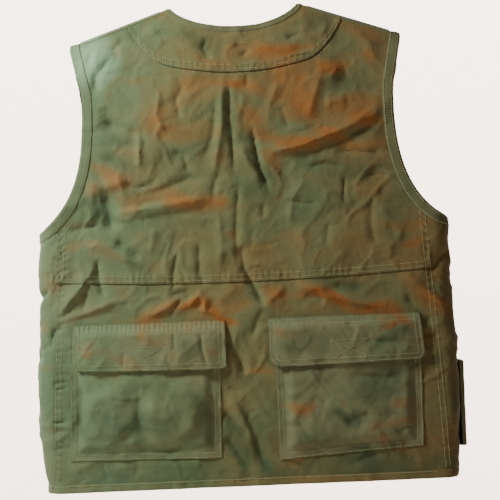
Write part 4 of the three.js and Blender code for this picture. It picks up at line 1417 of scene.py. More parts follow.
@dataclass
class BackPanels:
    """Yoke, upper and lower back, hem band, neck binding and hang loop."""

    lap: float = 1.6  # how far an upper panel's folded edge hangs over the seam
    rise: float = 1.1  # how far that edge stands out
    under: float = 7.0  # how far the lower panel runs on behind it

    def lap_lift(self, above: Array) -> Array:
        """Lift of a folded edge."""
        return self.rise * (1.0 - smooth((above - 3.0) / 13.0))

    def tuck(self, above: Array) -> Array:
        """Sink of the cloth that runs on behind a seam."""
        return -1.0 * smooth((above + 5.0) / 4.0)

    def yoke_z(self, x: Array) -> Array:
        """Height of the yoke seam."""
        line = PATTERN.yoke_line()
        return np.interp(x, line[::-1, 0], line[::-1, 1])

    def build_yoke(self) -> bpy.types.Object:
        """The yoke, over both shoulders.

        Returns:
            The object.
        """
        seam = resample(PATTERN.yoke_line(), 150)
        neck = PATTERN.back_neck(60)
        end = seam[0]
        ridge = [(end[0], PATTERN.shoulder(end[0]) + ROLL), (94.5, PATTERN.shoulder(94.5) + ROLL)]
        top = np.array([*ridge, *neck, *[(-x, z) for x, z in reversed(ridge)]])
        bottom = seam.copy()
        bottom[:, 1] -= self.lap
        place = ruled(bottom, resample(top, len(bottom)), lambda p, z: self.lap_lift(z - self.yoke_z(p)) + 0.1)
        sheet = Sheet("yoke_cloth", BACK, np.arange(len(bottom)), np.linspace(0, 1, 44), place)
        piece = attach(sheet.build(), "root", ["back_yoke"])
        sheet.declare(piece)
        return piece

    def build_upper(self) -> bpy.types.Object:
        """The upper back, from the waist seam up behind the yoke.

        Returns:
            The object.
        """
        yoke = PATTERN.yoke_line()
        end_x = yoke[0, 0]
        tip = (PATTERN.shoulder_half, PATTERN.shoulder(PATTERN.shoulder_half) + ROLL)
        arm = PATTERN.armhole(PATTERN.armhole_back, 60)
        arm = arm[(arm[:, 0] < PATTERN.seam_top[0]) | (arm[:, 1] > 450)]
        seam_end = np.array([PATTERN.seam_top])
        share = [0, 12, 40, 68, 198]  # columns given to seam, armhole, shoulder and yoke
        left_arm = np.concatenate([seam_end, arm[::-1], [tip]])
        shoulder = np.array([tip, (end_x + 1.0, PATTERN.shoulder(end_x) + ROLL)])
        under_yoke = yoke + [0.0, self.under]
        low_seam = np.array([(float(PATTERN.seam_x(282.0)), 288.0), PATTERN.seam_top])
        halves = [resample(low_seam, share[1] + 1)[:-1], resample(left_arm, share[2] - share[1] + 1)[:-1],
                  resample(shoulder, share[3] - share[2] + 1)[:-1]]
        middle = resample(under_yoke, share[4] - share[3] + 1)
        left = np.concatenate(halves)
        top = np.concatenate([left, middle, (left * [-1, 1])[::-1]])
        knots_x = np.array([PATTERN.seam_x(282.0), 246.0, 158.0, 118.0, -118.0, -158.0, -246.0,
            -PATTERN.seam_x(282.0)])
        x = np.interp(np.arange(len(top)),
            [0, *share[1:3], share[3], share[4], *[len(top) - 1 - s for s in share[2:0:-1]], len(top) - 1],
            knots_x)
        bottom = np.stack([x, PATTERN.waist_at(x) - self.lap], 1)

        def lift(p: Array, z: Array) -> Array:
            """Lapped at the waist, tucked behind the yoke."""
            from_yoke = np.where(np.abs(p) < end_x, z - self.yoke_z(p), -99.0)
            return self.lap_lift(z - PATTERN.waist_at(p)) + self.tuck(from_yoke)

        place = ruled(bottom, top, lift)
        sheet = Sheet("upper_back_cloth", BACK, np.arange(len(bottom)), np.linspace(0, 1, 120), place)
        piece = attach(sheet.build(), "root", ["back_upper_panel"])
        sheet.declare(piece)
        return piece

    def build_lower(self) -> bpy.types.Object:
        """The lower back, from the hem up behind the waist seam.

        Returns:
            The object.
        """
        x = np.linspace(1, -1, 200)
        bottom = np.stack([x * PATTERN.seam_x(0.6), np.full_like(x, 0.6)], 1)
        wide = x * PATTERN.seam_x(285.0)
        top = np.stack([wide, PATTERN.waist_at(wide) + self.under], 1)
        place = ruled(bottom, top, lambda p, z: self.tuck(z - PATTERN.waist_at(p)))
        sheet = Sheet("lower_back_cloth", BACK, np.arange(200), np.linspace(0, 1, 112), place)
        piece = attach(sheet.build(), "root", ["back_lower_panel"])
        sheet.declare(piece)
        return piece

    def build_edges(self) -> list[bpy.types.Object]:
        """The hem band and the neck binding.

        Returns:
            The objects.
        """
        wide = PATTERN.seam_x(0.0)
        hem_line = np.stack([np.linspace(wide, -wide, 180), np.zeros(180)], 1)
        hem = rib("back_hem", Track(BACK, hem_line, 1).ring(folded_section(PATTERN.hem_band, 0.7)), False,
            Finish.BODY)
        attach(hem, "root", ["back_hem_band"])
        neck = PATTERN.back_neck(70)
        start = np.array([(94.2, PATTERN.neck_height + ROLL - 0.6), (93.8, PATTERN.neck_height + ROLL / 2)])
        line = np.concatenate([start, neck, (start * [-1, 1])[::-1]])
        ring = Track(BACK, resample(line, 110), 1).ring(folded_section(8.0, 0.9))
        neck_edge = rib("back_neck_edge", ring, False, Finish.BINDING)
        attach(neck_edge, "root", ["back_neck_binding"])
        return [hem, neck_edge]

    def build_loop(self) -> bpy.types.Object:
        """The hang loop: a tape sewn down at both ends and bowed off the neck between them.

        Returns:
            The object.
        """
        low, high = (np.array(c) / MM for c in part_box("hang_loop"))
        half, thick = high[0], 1.6
        seat, bow = high[1] + ORIGIN[1] - thick / 2, low[1] + ORIGIN[1] + thick / 2
        width, foot = high[2] - low[2], low[2] + ORIGIN[2]
        x = np.linspace(-half, half, 60)
        share = smooth((half - 7.0 - np.abs(x)) / 11.0)
        y = seat + (bow - seat) * share
        sag = 1.5 * (1 - (x / half) ** 2)
        section = [(0.0, 0.5), (0.12, 0.8), (0.5, 0.7), (0.88, 0.8), (1.0, 0.5), (1.0, -0.5), (0.88, -0.8),
            (0.5, -0.7), (0.12, -0.8), (0.0, -0.5)]
        rings = np.stack(
            [np.stack([x, y + off, foot + width * up - sag * share * 0.4], 1) for up, off in section], axis=1
        )
        loop = rib("hang_loop_tape", rings, False, Finish.BINDING)
        return attach(loop, "root", ["hang_loop"])

    def build_stitching(self) -> bpy.types.Object:
        """Twin rows on the yoke, waist and side seams, and single rows on hem and neck.

        Returns:
            The object.
        """
        rows = Stitching("back_stitching")
        flat = on_pattern(lambda p, z: self.lap_lift(z - PATTERN.waist_at(p)) + 0.0)
        for above in (2.0, 8.6):
            x = np.linspace(246, -246, 120)
            rows.row(BACK, flat, np.stack([x, PATTERN.waist_at(x) - self.lap + above + 1.0], 1))
            seam = PATTERN.yoke_line()[2:-2] + [0.0, above - self.lap + 1.0]
            rows.row(BACK, on_pattern(lambda p, z: self.lap_lift(z - self.yoke_z(p)) + 0.1), seam)
        for side in (1, -1):
            for inset in (2.4, 9.0):
                z = np.linspace(14, 372, 60)
                x = side * (PATTERN.seam_x(z) - inset)
                lapped = on_pattern(lambda p,
                    h: np.where(np.abs(h - PATTERN.waist_at(p) - 5.0) < 7.0, 1.1, 0.0))
                rows.row(BACK, lapped, np.stack([x, z], 1))
        hem_x = np.linspace(252, -252, 100)
        rows.row(BACK, on_pattern(0.72), np.stack([hem_x, np.full(100, PATTERN.hem_band - 1.6)], 1))
        neck = PATTERN.back_neck(60)
        track = Track(BACK, neck, 1)
        rows.row(BACK, on_pattern(0.95), neck + track.normals() * 6.4)
        return attach(rows.build(), "root")

    def build(self) -> None:
        """Builds and dresses everything on the back."""
        self.build_yoke()
        self.build_upper()
        self.build_lower()
        self.build_edges()
        self.build_loop()
        self.build_stitching()


# ---- The sides and swinging fronts --------------------------------------------------------------


@dataclass
class SideAndFront:
    """One side of the vest: its cloth from side seam to zip, its bindings, facing and hem."""

    side: int

    @property
    def shell(self) -> SideShell:
        """The shell of this side."""
        return SIDES[self.side]

    @property
    def label(self) -> str:
        """left or right."""
        return LABEL[self.side]

    def armhole_tracks(self, count: int = 90) -> tuple[Array, Array]:
        """The armhole edge on the back shell and on the side shell.

        Args:
            count: Stations on each of its two curves.
        Returns:
            The stretch on the back down to the side seam, and the rest round to the front shoulder.
        """
        tip = np.array([[PATTERN.shoulder_half, PATTERN.shoulder(PATTERN.shoulder_half) + ROLL]])
        back = np.concatenate([tip, PATTERN.armhole(PATTERN.armhole_back, count)])
        split = int(np.nonzero(back[:, 0] > PATTERN.seam_top[0])[0][0])
        while back[split, 1] > 450:
            split += int(np.nonzero(back[split + 1 :, 0] > PATTERN.seam_top[0])[0][0]) + 1
        behind = back[split:]
        p = self.shell.across_at(behind[:, 0], behind[:, 1], True)
        front = PATTERN.armhole(PATTERN.armhole_front, count)[::-1]
        q = self.shell.across_at(front[:, 0], front[:, 1], False)
        rest = np.concatenate([np.stack([p, behind[:, 1]], 1), np.stack([q, front[:, 1]], 1)[1:], tip])
        return back[:split] * [self.side, 1], rest

    def build_cloth(self) -> bpy.types.Object:
        """The cloth from the side seam round to the zip, in one piece.

        Returns:
            The object.
        """
        shell, pattern = self.shell, PATTERN
        neck = bezier(pattern.front_neck, 40)[::-1]
        tip = (pattern.shoulder_half, pattern.shoulder(pattern.shoulder_half) + ROLL)
        shoulder = np.array([(92.0, 650.0), (94.0, pattern.shoulder(94.0) + ROLL), tip])
        front = pattern.armhole(pattern.armhole_front, 60)
        edge = np.stack([shell.across_at(front[:, 0], front[:, 1], False), front[:, 1]], 1)
        back = pattern.armhole(pattern.armhole_back, 60)
        back = back[(back[:, 0] > pattern.seam_top[0]) & (back[:, 1] < 450)][::-1]
        behind = np.stack([shell.across_at(back[:, 0], back[:, 1], True), back[:, 1]], 1)
        seam_p = float(shell.across_at(np.array(pattern.seam_top[0]), np.array(pattern.seam_top[1]), True))
        behind = np.concatenate([behind, [(seam_p, pattern.seam_top[1])]])
        counts = (34, 26, 62, 22)
        parts = [resample(part, n + 1)[: n + (i == 3)] for i,
            (part, n) in enumerate(zip((neck, shoulder, edge, behind), counts))]
        top = np.concatenate(parts)
        stations = np.cumsum((0, *counts))
        foot = float(shell.from_back(pattern.seam_x(0.6), np.array(0.6)))
        x = np.interp(np.arange(len(top)), stations, (pattern.zip_edge, 70.0, 110.0, 290.0, foot))
        bottom = np.stack([x, np.full_like(x, 0.6)], 1)
        straight = ruled(bottom, top, lambda p, z: np.zeros_like(p))
        turned = stations[3]

        def place(u: Array, v: Array) -> tuple[Array, Array, Array]:
            """Bends the last columns so that they end along the side seam."""
            p, z, lift = straight(u, v)
            end, _, _ = straight(np.full_like(u, len(top) - 1), v)
            share = smooth((u - turned) / (len(top) - 1 - turned))
            return p + (shell.from_back(pattern.seam_x(z), z) - end) * share, z, lift

        sheet = Sheet(f"side_and_front_cloth_{self.label}", shell, np.arange(len(top)), np.linspace(0, 1, 170),
            place)
        piece = hinge_blend(sheet.build(), self.side, [f"side_panel_{self.label}", f"front_panel_{self.label}"])
        sheet.declare(piece)
        return piece

    def build_hem(self) -> bpy.types.Object:
        """The hem, from the side seam round to the zip.

        Returns:
            The object.
        """
        foot = float(self.shell.from_back(PATTERN.seam_x(0.0), np.array(0.0)))
        line = np.stack([np.linspace(PATTERN.zip_edge, foot, 130), np.zeros(130)], 1)
        ring = Track(self.shell, line, -1).ring(folded_section(PATTERN.hem_band, 0.7))
        hem = rib(f"side_and_front_hem_{self.label}", ring, False, Finish.BODY)
        return hinge_blend(hem, self.side, [f"front_hem_band_{self.label}"])

    def build_bindings(self) -> list[bpy.types.Object]:
        """The armhole binding, the front neck binding and the shoulder seam tape.

        Returns:
            The objects.
        """
        back, rest = self.armhole_tracks()
        section = folded_section(14.0, 0.95)
        behind = Track(BACK, back, self.side).ring(section)
        around = Track(self.shell, rest, -1).ring(section)
        armhole = rib(f"armhole_edge_{self.label}", np.concatenate([behind, around[:-1]]), True, Finish.BINDING)
        attach(armhole, "root", [f"armhole_binding_{self.label}"])
        neck_line = resample(bezier(PATTERN.front_neck, 40), 60)
        neck_ring = Track(self.shell, neck_line, -1).ring(folded_section(8.0, 0.9))
        neck = rib(f"front_neck_edge_{self.label}", neck_ring, False, Finish.BINDING)
        attach(neck, f"front_{self.label}", [f"front_neck_binding_{self.label}"])
        x = np.linspace(101.6, 214.0, 50)
        rings = []
        for over, lift in ((-8.0, 0.15), (-6.0, 0.85), (0.0, 1.0), (6.0, 0.85), (8.0, 0.15), (0.0, 0.3)):
            shell = BACK if over <= 0 else self.shell
            p = x * self.side if over <= 0 else x
            rings.append(shell.at(p, PATTERN.shoulder(x) + ROLL - abs(over), np.full_like(x, lift)))
        tape = rib(f"shoulder_seam_{self.label}", np.stack(rings, 1), False, Finish.BINDING)
        attach(tape, "root", [f"shoulder_tape_{self.label}"])
        return [armhole, neck, tape]

    def build_facing(self) -> bpy.types.Object:
        """The facing inside the front edge.

        Returns:
            The object.
        """
        x0, x1, z0, z1 = span(f"front_facing_{self.label}")
        u, v = np.linspace(x0, x1, 14), np.linspace(z0, z1, 150)
        sheet = Sheet(f"front_facing_cloth_{self.label}", self.shell, u, v, on_pattern(-3.3), Finish.BODY, 1.0)
        piece = attach(sheet.build(), f"front_{self.label}", [f"front_facing_{self.label}"])
        sheet.declare(piece)
        return piece

    def build_stitching(self) -> list[bpy.types.Object]:
        """Rows on the armhole, front edge, hem and neck.

        Returns:
            The objects.
        """
        back, rest = self.armhole_tracks()
        arm = Stitching(f"armhole_stitching_{self.label}")
        for inset in (2.2, 12.2):
            for track in (Track(BACK, back, self.side), Track(self.shell, rest, -1)):
                arm.row(track.shell, on_pattern(0.95), track.line + track.normals() * inset)
        arm_piece = attach(arm.build(), "root")
        rows = Stitching(f"front_stitching_{self.label}")
        z = np.linspace(14, 470, 120)
        for inset in (3.0, 9.5):
            rows.row(self.shell, on_pattern(0.0), np.stack([np.full_like(z, PATTERN.zip_edge + inset), z], 1))
        hem_x = np.linspace(PATTERN.zip_edge + 2, 244.0, 80)
        rows.row(self.shell, on_pattern(0.72), np.stack([hem_x, np.full(80, PATTERN.hem_band - 1.6)], 1))
        neck = Track(self.shell, resample(bezier(PATTERN.front_neck, 40), 60), -1)
        rows.row(self.shell, on_pattern(0.95), neck.line + neck.normals() * 6.4)
        front_piece = attach(rows.build(), f"front_{self.label}")
        return [arm_piece, front_piece]

    def build(self) -> None:
        """Builds and dresses this side."""
        self.build_cloth()
        self.build_hem()
        self.build_bindings()
        self.build_facing()
        self.build_stitching()


# ---- Pockets ------------------------------------------------------------------------------------


class PocketKind(Enum):
    """Where a pocket sits, as its frame nodes name it."""

    BACK = "back"
    CHEST = "chest"
    CARGO = "cargo"


@dataclass(frozen=True)
class Dome:
    """A round swelling in a pocket: something round is kept in it."""

    x: float
    z: float
    radius: float
    height: float

    def lift(self, p: Array, z: Array) -> Array:
        """The swelling's lift, steep at its rim and nearly flat on top."""
        off = np.hypot(p - self.x, z - self.z) / self.radius
        return self.height * smooth((1.12 - off) / 0.5)


@dataclass
class Pocket:
    """A patch pocket with its flap and its closure."""

    kind: PocketKind
    side: int
    corners: tuple[tuple[float, float], ...] = ()  # foot near, foot far, mouth near, mouth far
    margin: float = 9.0  # flat stitched border
    wall: float = 15.0  # width over which the cloth climbs
    mouth: float = 5.5  # how far the mouth stands off
    base: float = 7.0  # how far the lower part stands off
    domes: tuple[Dome, ...] = ()
    wrinkles: tuple[Fold, ...] = ()
    flap_wrinkles: tuple[Fold, ...] = ()
    # tints paint rust and dark green: partly the cloth's two tones, partly painted warm light and painted shade
    tints: tuple[Tint, ...] = ()
    flap_tints: tuple[Tint, ...] = ()
    flap_skew: float = 0.0  # how far the flap's far side leans out at its foot
    flap_tilt: float = 0.0  # how much lower the flap's far corner hangs
    corner: tuple[float, float] = (13.0, 13.0)  # radii of the near and far corners
    pucker: float = 0.35
    step: float = 2.4

    def __post_init__(self) -> None:
        """Takes the pocket's and the flap's outline from the frame."""
        low, high = self.box("pocket")
        self.shell: Shell = BACK if self.kind is PocketKind.BACK else SIDES[self.side]
        if not self.corners:
            self.corners = ((low[0], low[1]), (high[0], low[1]), (low[0], high[1]), (high[0], high[1]))
        self.foot, self.top = low[1], high[1]
        self.flap_low, self.flap_high = self.box("flap")
        self.width = self.corners[1][0] - self.corners[0][0]
        self.height = high[1] - low[1]
        self.relief = Relief(
            self.wrinkles, ((40.0, 1.1), (17.0, 0.5), (9.0, 0.15)), ((30.0, 0.5),), self.tints, 0.4,
            seed=11.0 + self.side + len(self.kind.value),
        )
        self.flap_relief = Relief(
            self.flap_wrinkles, ((50.0, 0.8), (18.0, 0.35)), ((34.0, 0.4),), self.flap_tints, 0.3,
            seed=21.0 + self.side,
        )

    @property
    def label(self) -> str:
        """Name shared by the pocket's pieces."""
        return f"{self.kind.value}_{{}}_{LABEL[self.side]}"

    @property
    def sign(self) -> int:
        """-1 where the shell's own coordinate has to be mirrored."""
        return self.side if self.kind is PocketKind.BACK else 1

    def box(self, part: str) -> tuple[tuple[float, float], tuple[float, float]]:
        """A frame node's outline out from the centre line and up from the hem."""
        near, far, low, high = span(f"{self.kind.value}_{part}_{LABEL[self.side]}")
        return (near, low), (far, high)

    def swell(self, p: Array, z: Array) -> Array:
        """How far the filled middle stands off, without its edges."""
        share = np.clip((self.top - z) / self.height, 0.0, 1.0)
        full = self.mouth + (self.base - self.mouth) * smooth(share * 1.6)
        for dome in self.domes:
            full = full + dome.lift(np.abs(p), z)
        return full

    def place(self, u: Array, v: Array) -> tuple[Array, Array, Array]:
        """Lays the pocket's stations, in millimetres out from its near side and up from its foot.

        Args:
            u: Across.
            v: Up.
        Returns:
            Place on the shell, and lift.
        """
        s, t = u / self.width, v / self.height
        (x00, z00), (x10, z10), (x01, z01), (x11, z11) = self.corners
        p = (x00 * (1 - s) + x10 * s) * (1 - t) + (x01 * (1 - s) + x11 * s) * t
        z = (z00 * (1 - s) + z10 * s) * (1 - t) + (z01 * (1 - s) + z11 * s) * t
        side = np.minimum(u, self.width - u)
        rim = np.minimum(self.climb(side), self.climb(v))
        lift = 1.5 + self.swell(p, z) * rim
        return p * self.sign, z, lift

    def climb(self, distance: Array) -> Array:
        """How far the cloth has climbed at a distance from a sewn edge."""
        return smooth((distance - self.margin) / self.wall)

    def build_body(self) -> bpy.types.Object:
        """The pocket's cloth, sewn down on three sides.

        Returns:
            The object.
        """
        lip = self.margin + self.wall
        u = clustered(self.width, lip, self.step, 12)
        v = clustered(self.height, lip, self.step, 12)
        name = self.label.format("pocket_cloth")
        sheet = Sheet(name, self.shell, u, v, self.place, Finish.POCKET, 1.3, self.relief)
        piece = attach(sheet.build(), self.carrier, [self.label.format("pocket")])
        sheet.declare(piece)
        return piece

    @property
    def carrier(self) -> str:
        """The body that the pocket is sewn to."""
        return "root" if self.kind is PocketKind.BACK else f"front_{LABEL[self.side]}"

    @property
    def flap_body(self) -> str:
        """The body that the flap swings with."""
        return f"{self.kind.value}_flap_body_{LABEL[self.side]}"

    def flap_place(self, u: Array, v: Array) -> tuple[Array, Array, Array]:
        """Lays the flap's stations: across from its near side, and down from its seam.

        Args:
            u: Across, in millimetres.
            v: Down, in millimetres.
        Returns:
            Place on the shell, and lift.
        """
        (x0, low), (x1, top) = self.flap_low, self.flap_high
        width, drop = x1 - x0, top - low
        left = drop - v
        near, far = self.corner
        pull_near = near - np.sqrt(np.maximum(near**2 - np.maximum(near - left, 0.0) ** 2, 0.0))
        pull_far = far - np.sqrt(np.maximum(far**2 - np.maximum(far - left, 0.0) ** 2, 0.0))
        s, t = u / width, v / drop
        start, end = x0 + pull_near, x1 - pull_far + self.flap_skew * t
        p = start + (end - start) * s
        z = top - v - self.flap_tilt * s * t
        across = np.minimum(u, width - u)
        hug = 0.35 + 0.65 * smooth(across / 24.0)
        roof = smooth(v / 17.0)
        below = self.swell(p, np.minimum(z, self.top))
        lift = 1.6 + (below * hug + 4.6) * roof
        gather = np.sin(u * 2 * math.pi / 6.4 + 2.0 * lattice_noise(u / 25, v / 60, 3.0 + self.side))
        lift = lift + self.pucker * gather * np.exp(-(((v - 6.0) / 6.0) ** 2))
        return p * self.sign, z, lift

    def build_flap(self) -> bpy.types.Object:
        """The flap.

        Returns:
            The object.
        """
        (x0, low), (x1, top) = self.flap_low, self.flap_high
        u = np.linspace(0, x1 - x0, int((x1 - x0) / 1.6))
        drop = top - low
        v = np.concatenate([np.linspace(0, drop - 13, int((drop - 13) / 1.8)),
            drop - 13 * np.cos(np.linspace(0, math.pi / 2, 9))[1:]])
        sheet = Sheet(self.label.format("flap_cloth"), self.shell, u, v, self.flap_place, Finish.POCKET, 2.0,
            self.flap_relief)
        piece = attach(sheet.build(), self.flap_body, [self.label.format("flap")])
        sheet.declare(piece)
        return piece

    def build_closure(self) -> None:
        """The loop tape on the pocket and the hook tape inside the flap."""
        (x0, z0), (x1, z1) = self.box("pocket_loop_patch")
        u, v = np.linspace(x0, x1, 22), np.linspace(z0, z1, 12)
        top = self.flap_high[1]

        def under(p: Array, z: Array) -> Array:
            """Lift of the pocket's outer face."""
            return 1.5 + self.swell(p, z) + self.relief.measure(p * self.side, z)[0]

        def inside(p: Array, z: Array) -> Array:
            """Lift of the flap's inner face."""
            _, _, lift = self.flap_place(p - self.flap_low[0], top - z)
            return lift - 2.1 + self.flap_relief.measure(p * self.side, z)[0]

        def loops(p: Array, z: Array) -> tuple[Array, Array, Array]:
            """Lays the loop tape."""
            return p * self.sign, z, under(p, z) + 1.0

        def hooks(p: Array, z: Array) -> tuple[Array, Array, Array]:
            """Lays the hook tape."""
            return p * self.sign, z, inside(p, z)

        loop = Sheet(self.label.format("loop_tape"), self.shell, u, v, loops, Finish.HOOK, 0.9)
        attach(loop.build(), self.carrier, [self.label.format("pocket_loop_patch")])
        hook = Sheet(self.label.format("hook_tape"), self.shell, u, v, hooks, Finish.HOOK, 0.9)
        attach(hook.build(), self.flap_body, [self.label.format("flap_hook_patch")])

    def build_stitching(self) -> None:
        """Twin rows round the pocket, rows round the flap, and the crossed box over the closure."""
        rows = Stitching(self.label.format("pocket_stitching"))
        w, h = self.width, self.height
        for inset in (1.8, 8.0):
            line = np.array([(inset, h - 1.0), (inset, inset), (w - inset, inset), (w - inset, h - 1.0)])
            rows.row(self.shell, self.place, resample(line, 200), extra=self.relief)
        attach(rows.build(), self.carrier)
        flap = Stitching(self.label.format("flap_stitching"))
        (x0, low), (x1, top) = self.flap_low, self.flap_high
        width, drop = x1 - x0, top - low
        for inset in (2.2, 8.6):
            line = np.array([(inset, 5.0), (inset, drop - inset), (width - inset, drop - inset),
                (width - inset, 5.0)])
            flap.row(self.shell, self.flap_place, resample(line, 220), extra=self.flap_relief)
            seam = np.array([(inset, inset + 1.4), (width - inset, inset + 1.4)])
            flap.row(self.shell, self.flap_place, resample(seam, 160), extra=self.flap_relief)
        (bx0, bz0), (bx1, bz1) = self.box("flap_hook_patch")
        a, b, c, d = bx0 - x0, bx1 - x0, top - bz1, top - bz0
        for line in (((a, c), (b, c), (b, d), (a, d), (a, c)), ((a, c), (b, d)), ((a, d), (b, c))):
            flap.row(self.shell, self.flap_place, resample(np.array(line), 80), extra=self.flap_relief)
        attach(flap.build(), self.flap_body)

    def build(self) -> None:
        """Builds and dresses the pocket."""
        self.build_body()
        self.build_flap()
        self.build_closure()
        self.build_stitching()


@dataclass
class SidePocket:
    """The narrow bellows pocket at the foot of the wearer's right side."""

    corner: float = 7.0

    def build(self) -> bpy.types.Object:
        """A bag sewn to the side at its near and far edges, with a closed foot and an open mouth.

        Returns:
            The object.
        """
        low, high = (np.array(c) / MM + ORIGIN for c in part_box("side_pocket_right"))
        near, far = sorted((abs(low[0]), abs(high[0])))
        y0, y1, z0, z1 = low[1] + 1.0, high[1], low[2], high[2]
        r = self.corner
        turn = np.linspace(0, math.pi / 2, 7)[1:]
        wall = [(near, y) for y in np.linspace(float(PATTERN.side_y(z0)) + 0.6, y0 + r, 6)]
        wall += [(near + r - r * math.cos(t), y0 + r - r * math.sin(t)) for t in turn]
        wall += [(x, y0) for x in np.linspace(near + r, far - 1.2 * r, 6)[1:]]
        wall += [(far - 1.2 * r + 1.2 * r * math.sin(t), y0 + r - r * math.cos(t)) for t in turn]
        wall += [(far - 0.2, y) for y in np.linspace(y0 + r, y1, 12)[1:]]
        wall += [(x, y1 + 0.6) for x in np.linspace(far - 1.0, far - 6.0, 3)]
        outline = resample(np.array(wall), 54)
        middle = np.array([(near + far) / 2 - 6.0, (y0 + y1) / 2 + 4.0])
        rows = []
        for share in (0.0, 0.35, 0.7, 0.88, 0.97):
            rows.append((share, z0 + 0.8 * (1 - share)))
        rows += [(1.0, z) for z in np.concatenate([[z0 + 2.0, z0 + 5.0], np.linspace(z0 + 9.0, z1, 36)])]
        grid = np.zeros((len(outline), len(rows), 3))
        for j, (share, z) in enumerate(rows):
            at = middle + (outline - middle) * share
            swell = 1.2 * lattice_noise(outline[:, 0] / 14 + outline[:, 1] / 14, np.full(len(outline), z / 22),
                9.0)
            rise = smooth(np.minimum(z - z0, 20.0) / 20.0) * share
            grid[:, j, 0] = -(at[:, 0] - 0.8 * np.abs(swell) * rise)
            grid[:, j, 1] = at[:, 1] + swell * rise
            grid[:, j, 2] = z
        uv = np.stack(np.meshgrid(np.arange(len(outline)) * 1.6, np.arange(len(rows)) * 3.2, indexing="ij"), -1)
        piece = grid_piece("side_pocket_cloth", grid, uv,
            0.3 * lattice_noise(grid[..., 1] / 9, grid[..., 2] / 14, 2.0))
        outward = np.zeros_like(grid)
        outward[..., 1] = -1.0
        face_out(piece, grid, outward)
        apply_modifier(piece, "SOLIDIFY", thickness=1.2 * MM, offset=-1.0)
        smooth_shade(piece)
        dress(piece, Finish.POCKET)
        attach(piece, "root", ["side_pocket_right"])
        return piece


# ---- The zip ------------------------------------------------------------------------------------


